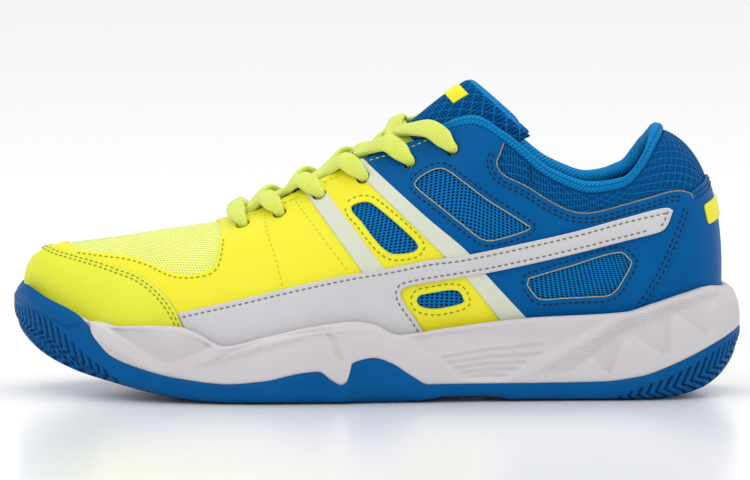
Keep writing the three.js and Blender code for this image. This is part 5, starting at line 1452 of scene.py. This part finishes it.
# ---------------------------------------------------------------- tongue
# A padded tongue: blue spacer knit over foam, lined with knit, sewn to the vamp at its root.
# Its edge is bound, and a plain yellow patch is fused near its tip.
TONGUE = np.array([
    (-65.5, 64.4, 13, 4, 78), (-52, 67.8, 14, 8, 70), (-38, 73.8, 15, 11.5, 64), (-21, 83, 16, 16, 60),
    (-8, 92, 16, 21, 57), (4, 101, 16, 26, 54), (15, 110, 16.3, 32, 51), (27, 119.6, 16.8, 38, 46),
    (37.5, 126.6, 17.3, 42, 42)], float)
tongue_rows = [steady([(i, row[k]) for i, row in enumerate(TONGUE)]) for k in range(5)]


def tongue_at(i, angle, depth):
    i, angle, depth = np.broadcast_arrays(np.asarray(i, float), angle, depth)
    x, z, half, wing, lean = (f(i) for f in tongue_rows)
    lean = np.radians(lean)
    down = np.stack([np.cos(lean), 0 * lean, -np.sin(lean)], -1)
    turn = np.arctan2(wing * np.sin(angle), half * np.cos(angle))
    inward = np.stack([0 * turn, -np.sin(turn), 0 * turn], -1) + down * np.cos(turn)[..., None]
    p = np.stack([x, half * np.sin(angle), z], -1)
    return p + down * (wing * (1 - np.cos(angle)))[..., None] + inward * depth[..., None]


def tongue_layer(name, top, bottom, rows=88, columns=64, i0=0.0, i1=8.0, reach=1.35, pillow=0.0):
    """A layer of the tongue between two depths below its face, its edges drawn together a little."""
    i = np.linspace(i0, i1, rows)[:, None]
    a = np.linspace(-reach, reach, columns)[None]
    edge = np.minimum(np.minimum((i - i0) / 0.35, (i1 - i) / 0.22), (reach - np.abs(a)) / 0.16)
    edge = np.sqrt(np.clip(1 - (1 - np.clip(edge, 0, 1)) ** 2, 0, 1))
    middle = (top + bottom) / 2
    half = (bottom - top) / 2
    squeeze = 0.25 + 0.75 * edge
    high = tongue_at(i, a, middle - half * squeeze - pillow * edge)
    low = tongue_at(i, a, middle + half * squeeze)
    run = np.linspace(0, 125 * (i1 - i0) / 8, rows)[:, None] + 0 * a
    wide = a * 24 + 0 * i
    uv = np.stack([run, wide, 0 * run], -1).reshape(-1, 3)
    quads = []
    for r_ in range(rows - 1):
        for c_ in range(columns - 1):
            k = r_ * columns + c_
            quads.append((k, k + 1, k + columns + 1, k + columns))
    n = rows * columns
    below = [tuple(q + n for q in quad[::-1]) for quad in quads]
    border = [r_ * columns for r_ in range(rows)] + [(rows - 1) * columns + c_ for c_ in range(1, columns)]
    border += [r_ * columns + columns - 1 for r_ in range(rows - 2, -1, -1)] + list(range(columns - 2, 0, -1))
    rim = [(border[k], border[(k + 1) % len(border)], border[(k + 1) % len(border)] + n, border[k] + n)
           for k in range(len(border))]
    made = solid(name, np.vstack([high.reshape(-1, 3), low.reshape(-1, 3)]), quads + below + rim,
                 body="tongue", uv=np.vstack([uv, uv]))
    turn_outward(made)
    return made


cover = tongue_layer("tongue_cover_knit", 0.0, 1.3, pillow=0.5)
cover.data.materials.append(ankle_net)
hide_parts("tongue_cover")
foam_core = tongue_layer("tongue_padding", 1.4, 5.2, reach=1.32, i0=0.05, i1=7.95)
foam_core.data.materials.append(pad_foam)
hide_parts("tongue_foam")
inner_face = tongue_layer("tongue_lining_knit", 5.4, 6.6)
inner_face.data.materials.append(lining_knit)
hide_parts("tongue_lining")

# Bound edge: a rolled tape 5.6 mm deep that closes the cover, foam and lining all the way round.
edge_i = np.concatenate([np.linspace(0.1, 7.7, 150), np.full(10, 7.85), np.full(90, 7.95), np.full(10, 7.85),
                         np.linspace(7.7, 0.1, 150)])
edge_a = np.concatenate([np.full(150, -1.33), np.linspace(-1.33, -1.24, 10), np.linspace(-1.2, 1.2, 90),
                         np.linspace(1.24, 1.33, 10), np.full(150, 1.33)])
for _ in range(12):
    edge_i[1:-1] = (edge_i[:-2] + 2 * edge_i[1:-1] + edge_i[2:]) / 4
    edge_a[1:-1] = (edge_a[:-2] + 2 * edge_a[1:-1] + edge_a[2:]) / 4
line = tongue_at(edge_i, edge_a, np.full(len(edge_i), 3.3))
thick = tongue_at(edge_i, edge_a, np.full(len(edge_i), 0.0)) - line
thick /= np.linalg.norm(thick, axis=1, keepdims=True)
ahead = np.gradient(line, axis=0)
ahead /= np.linalg.norm(ahead, axis=1, keepdims=True)
across = np.cross(ahead, thick)
across /= np.linalg.norm(across, axis=1, keepdims=True)
angle = 2 * np.pi * np.arange(16) / 16
ring = (line[:, None] + thick[:, None] * (3.1 * np.cos(angle))[None, :, None]
        + across[:, None] * (1.7 * np.sin(angle))[None, :, None])
run = np.concatenate([[0], np.cumsum(np.linalg.norm(np.diff(line, axis=0), axis=1))])
uv = np.stack(np.broadcast_arrays(run[:, None], angle[None] * 2.4, angle[None] * 0), -1).reshape(-1, 3)
ends = [list(range(16)), [(len(line) - 1) * 16 + k for k in range(16)][::-1]]
bound = solid("tongue_bound_edge", ring.reshape(-1, 3), ring_faces(len(line), 16) + ends, body="tongue", uv=uv)
merge_solid(bound)
bound.data.materials.append(tape)

tongue_label = tongue_layer("tongue_patch_plain", -1.1, -0.35, 30, 40, 7.1, 7.65, 0.5)
tongue_label.data.materials.append(yellow_skin)
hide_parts("tongue_patch")

# ---------------------------------------------------------------- threaded lace
# One flat braided lace starts as a bar at the lowest eyelets and crosses the throat five times a side,
# down into each eyelet from above and out again beneath the eyestay.
def tongue_face(x, y):
    i = float(np.clip(np.interp(x, TONGUE[:, 0], np.arange(len(TONGUE))), 0, 8))
    k = min(int(i), len(TONGUE) - 2)
    a, b = TONGUE[k], TONGUE[k + 1]
    m_ = a + (b - a) * (i - k)
    turn = math.asin(min(0.95, abs(y) / m_[2]))
    slope = (b[1] - a[1]) / (b[0] - a[0])
    lean = math.radians(m_[4])
    return m_[1] - m_[3] * (1 - math.cos(turn)) * (math.sin(lean) + slope * math.cos(lean))


def crest_over(x):
    u = np.linspace(THROAT, 8, 600)
    return float(crest_height(u[np.argmax(crest_x(u) >= x)]))


def above_form(v, t, offset):
    return on_upper(float(v), float(t), np.float64(offset))


def strand(side):
    way, state = [], {"facing": 1}
    flat, half = 4.0, 1.6

    def visit(point, normal, width=flat, thickness=half):
        normal = np.array(normal, float)
        way.append((np.array(point, float), normal / np.linalg.norm(normal) * state["facing"], width, thickness))

    def beside_hole(row, at, toward, share):
        there = EYELETS[min(max(row + toward, 0), 5)]
        v = sideways(EYELETS[row] + (there - EYELETS[row]) * share, at)
        return v, 0.5 + 0.5 * eyelet_height(sideways(EYELETS[row], at))

    def neighbour(row, toward):
        k = row + toward
        if not toward or not 0 <= k <= 5:
            return EYELETS[row] + 0.45
        return EYELETS[row] + (EYELETS[k] - EYELETS[row]) * (-0.06 if toward > 0 else 0.42)

    def into_hole(row, at, toward):
        v, t = beside_hole(row, at, toward, 0.2)
        if not toward:
            v = sideways(EYELETS[row] + 0.25, at)
        edge = sideways(neighbour(row, toward), at)
        visit(above_form(edge, 1, 3.9), last_normal(edge, 1.0))
        visit(above_form(v, t, 3.3), last_normal(v, t))
        hole = sideways(EYELETS[row], at)
        h = eyelet_height(hole)
        out = -up_rib(hole, h)
        visit(above_form(hole, h, 2.0), last_normal(hole, h) + out, 2.6, 1.5)
        visit(above_form(hole, h, -1.8), out, 2.0, 1.4)

    def out_of_hole(row, at, toward):
        hole = sideways(EYELETS[row], at)
        h = eyelet_height(hole)
        out = -up_rib(hole, h)
        state["facing"] = -state["facing"]
        visit(above_form(hole, h, -4.9), last_normal(hole, h) - out, 2.3, 1.4)
        v, t = beside_hole(row, at, toward, 0.12)
        visit(above_form(v, t, -6.1), last_normal(v, t), 3.2, 1.2)
        edge = sideways(neighbour(row, toward), at)
        visit(above_form(edge, 1, -6.1), last_normal(edge, 1.0), 3.2, 1.2)

    def over_throat(row, at, following, over):
        first, second = float(crest_x(EYELETS[row])), float(crest_x(EYELETS[following]))
        ahead = 0.42 if row == 4 else 0.2
        heights = (1.8, 2.7, 2.5) if over else (-0.6, 0.1, 0.8)
        for share, y_share, height in zip((0.06 - ahead, 0.13 - ahead, 0.2 - ahead), (0.43, 0, -0.43), heights):
            x = first + (second - first) * share
            y = at * y_share * 14
            seat = max(crest_over(x) - 1.6, tongue_face(x, y) + 3.2)
            visit((x, y, seat + height), (-0.45, y / 30, 1))

    bar_x = float(crest_x(EYELETS[0] + 0.5))
    visit((bar_x, 0, max(crest_over(bar_x), tongue_face(bar_x, 0)) + 3.4), (0, 0, 1))
    into_hole(0, side, 0)
    here = side
    for row in range(5):
        out_of_hole(row, here, 1)
        over_throat(row, here, row + 1, (here < 0) == (row % 2 == 0))
        here = -here
        into_hole(row + 1, here, -1)
    return way


whole = strand(-1)[1:][::-1] + strand(1)
lace, _, _ = braid("threaded_lace", whole, per_stop=9, sides=18)
lace.data.materials.append(lace_cloth)
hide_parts("lace")

# ---------------------------------------------------------------- floor and light
# A plain white floor and three large soft lights.
bpy.ops.mesh.primitive_plane_add(size=16, location=(0, 2, -0.0003))
ground_sheet = bpy.context.object
ground_sheet.name = "floor"
paper = m = new_material("satin_white_acrylic", "F4F5F7", 0.22)
tooth = add(m, "TexNoise", {"Vector": add(m, "TexCoord").node.outputs["Object"], "Scale": 300.0})
finish_with(m, None, tooth, 0.00002, 0.1)
ground_sheet.data.materials.append(paper)
ground_sheet.select_set(False)
for name, place, size, power in (("key", (-0.7, -1.3, 1.5), 1.2, 7), ("fill", (1.3, -1.1, 0.7), 1.4, 1.5),
                                 ("top", (0.1, 0.5, 1.9), 1.6, 9)):
    lamp = bpy.data.objects.new(name, bpy.data.lights.new(name, "AREA"))
    lamp.data.size = size
    lamp.data.energy = power
    lamp.location = place
    lamp.rotation_euler = (Vector((0, 0, 0.05)) - Vector(place)).to_track_quat("-Z", "Y").to_euler()
    bpy.context.scene.collection.objects.link(lamp)
world = bpy.context.scene.world or bpy.data.worlds.new("studio")
bpy.context.scene.world = world
world.use_nodes = True
world.node_tree.nodes["Background"].inputs[0].default_value = (1, 1, 1, 1)
world.node_tree.nodes["Background"].inputs[1].default_value = 0.93
bpy.context.scene.view_settings.view_transform = "Standard"
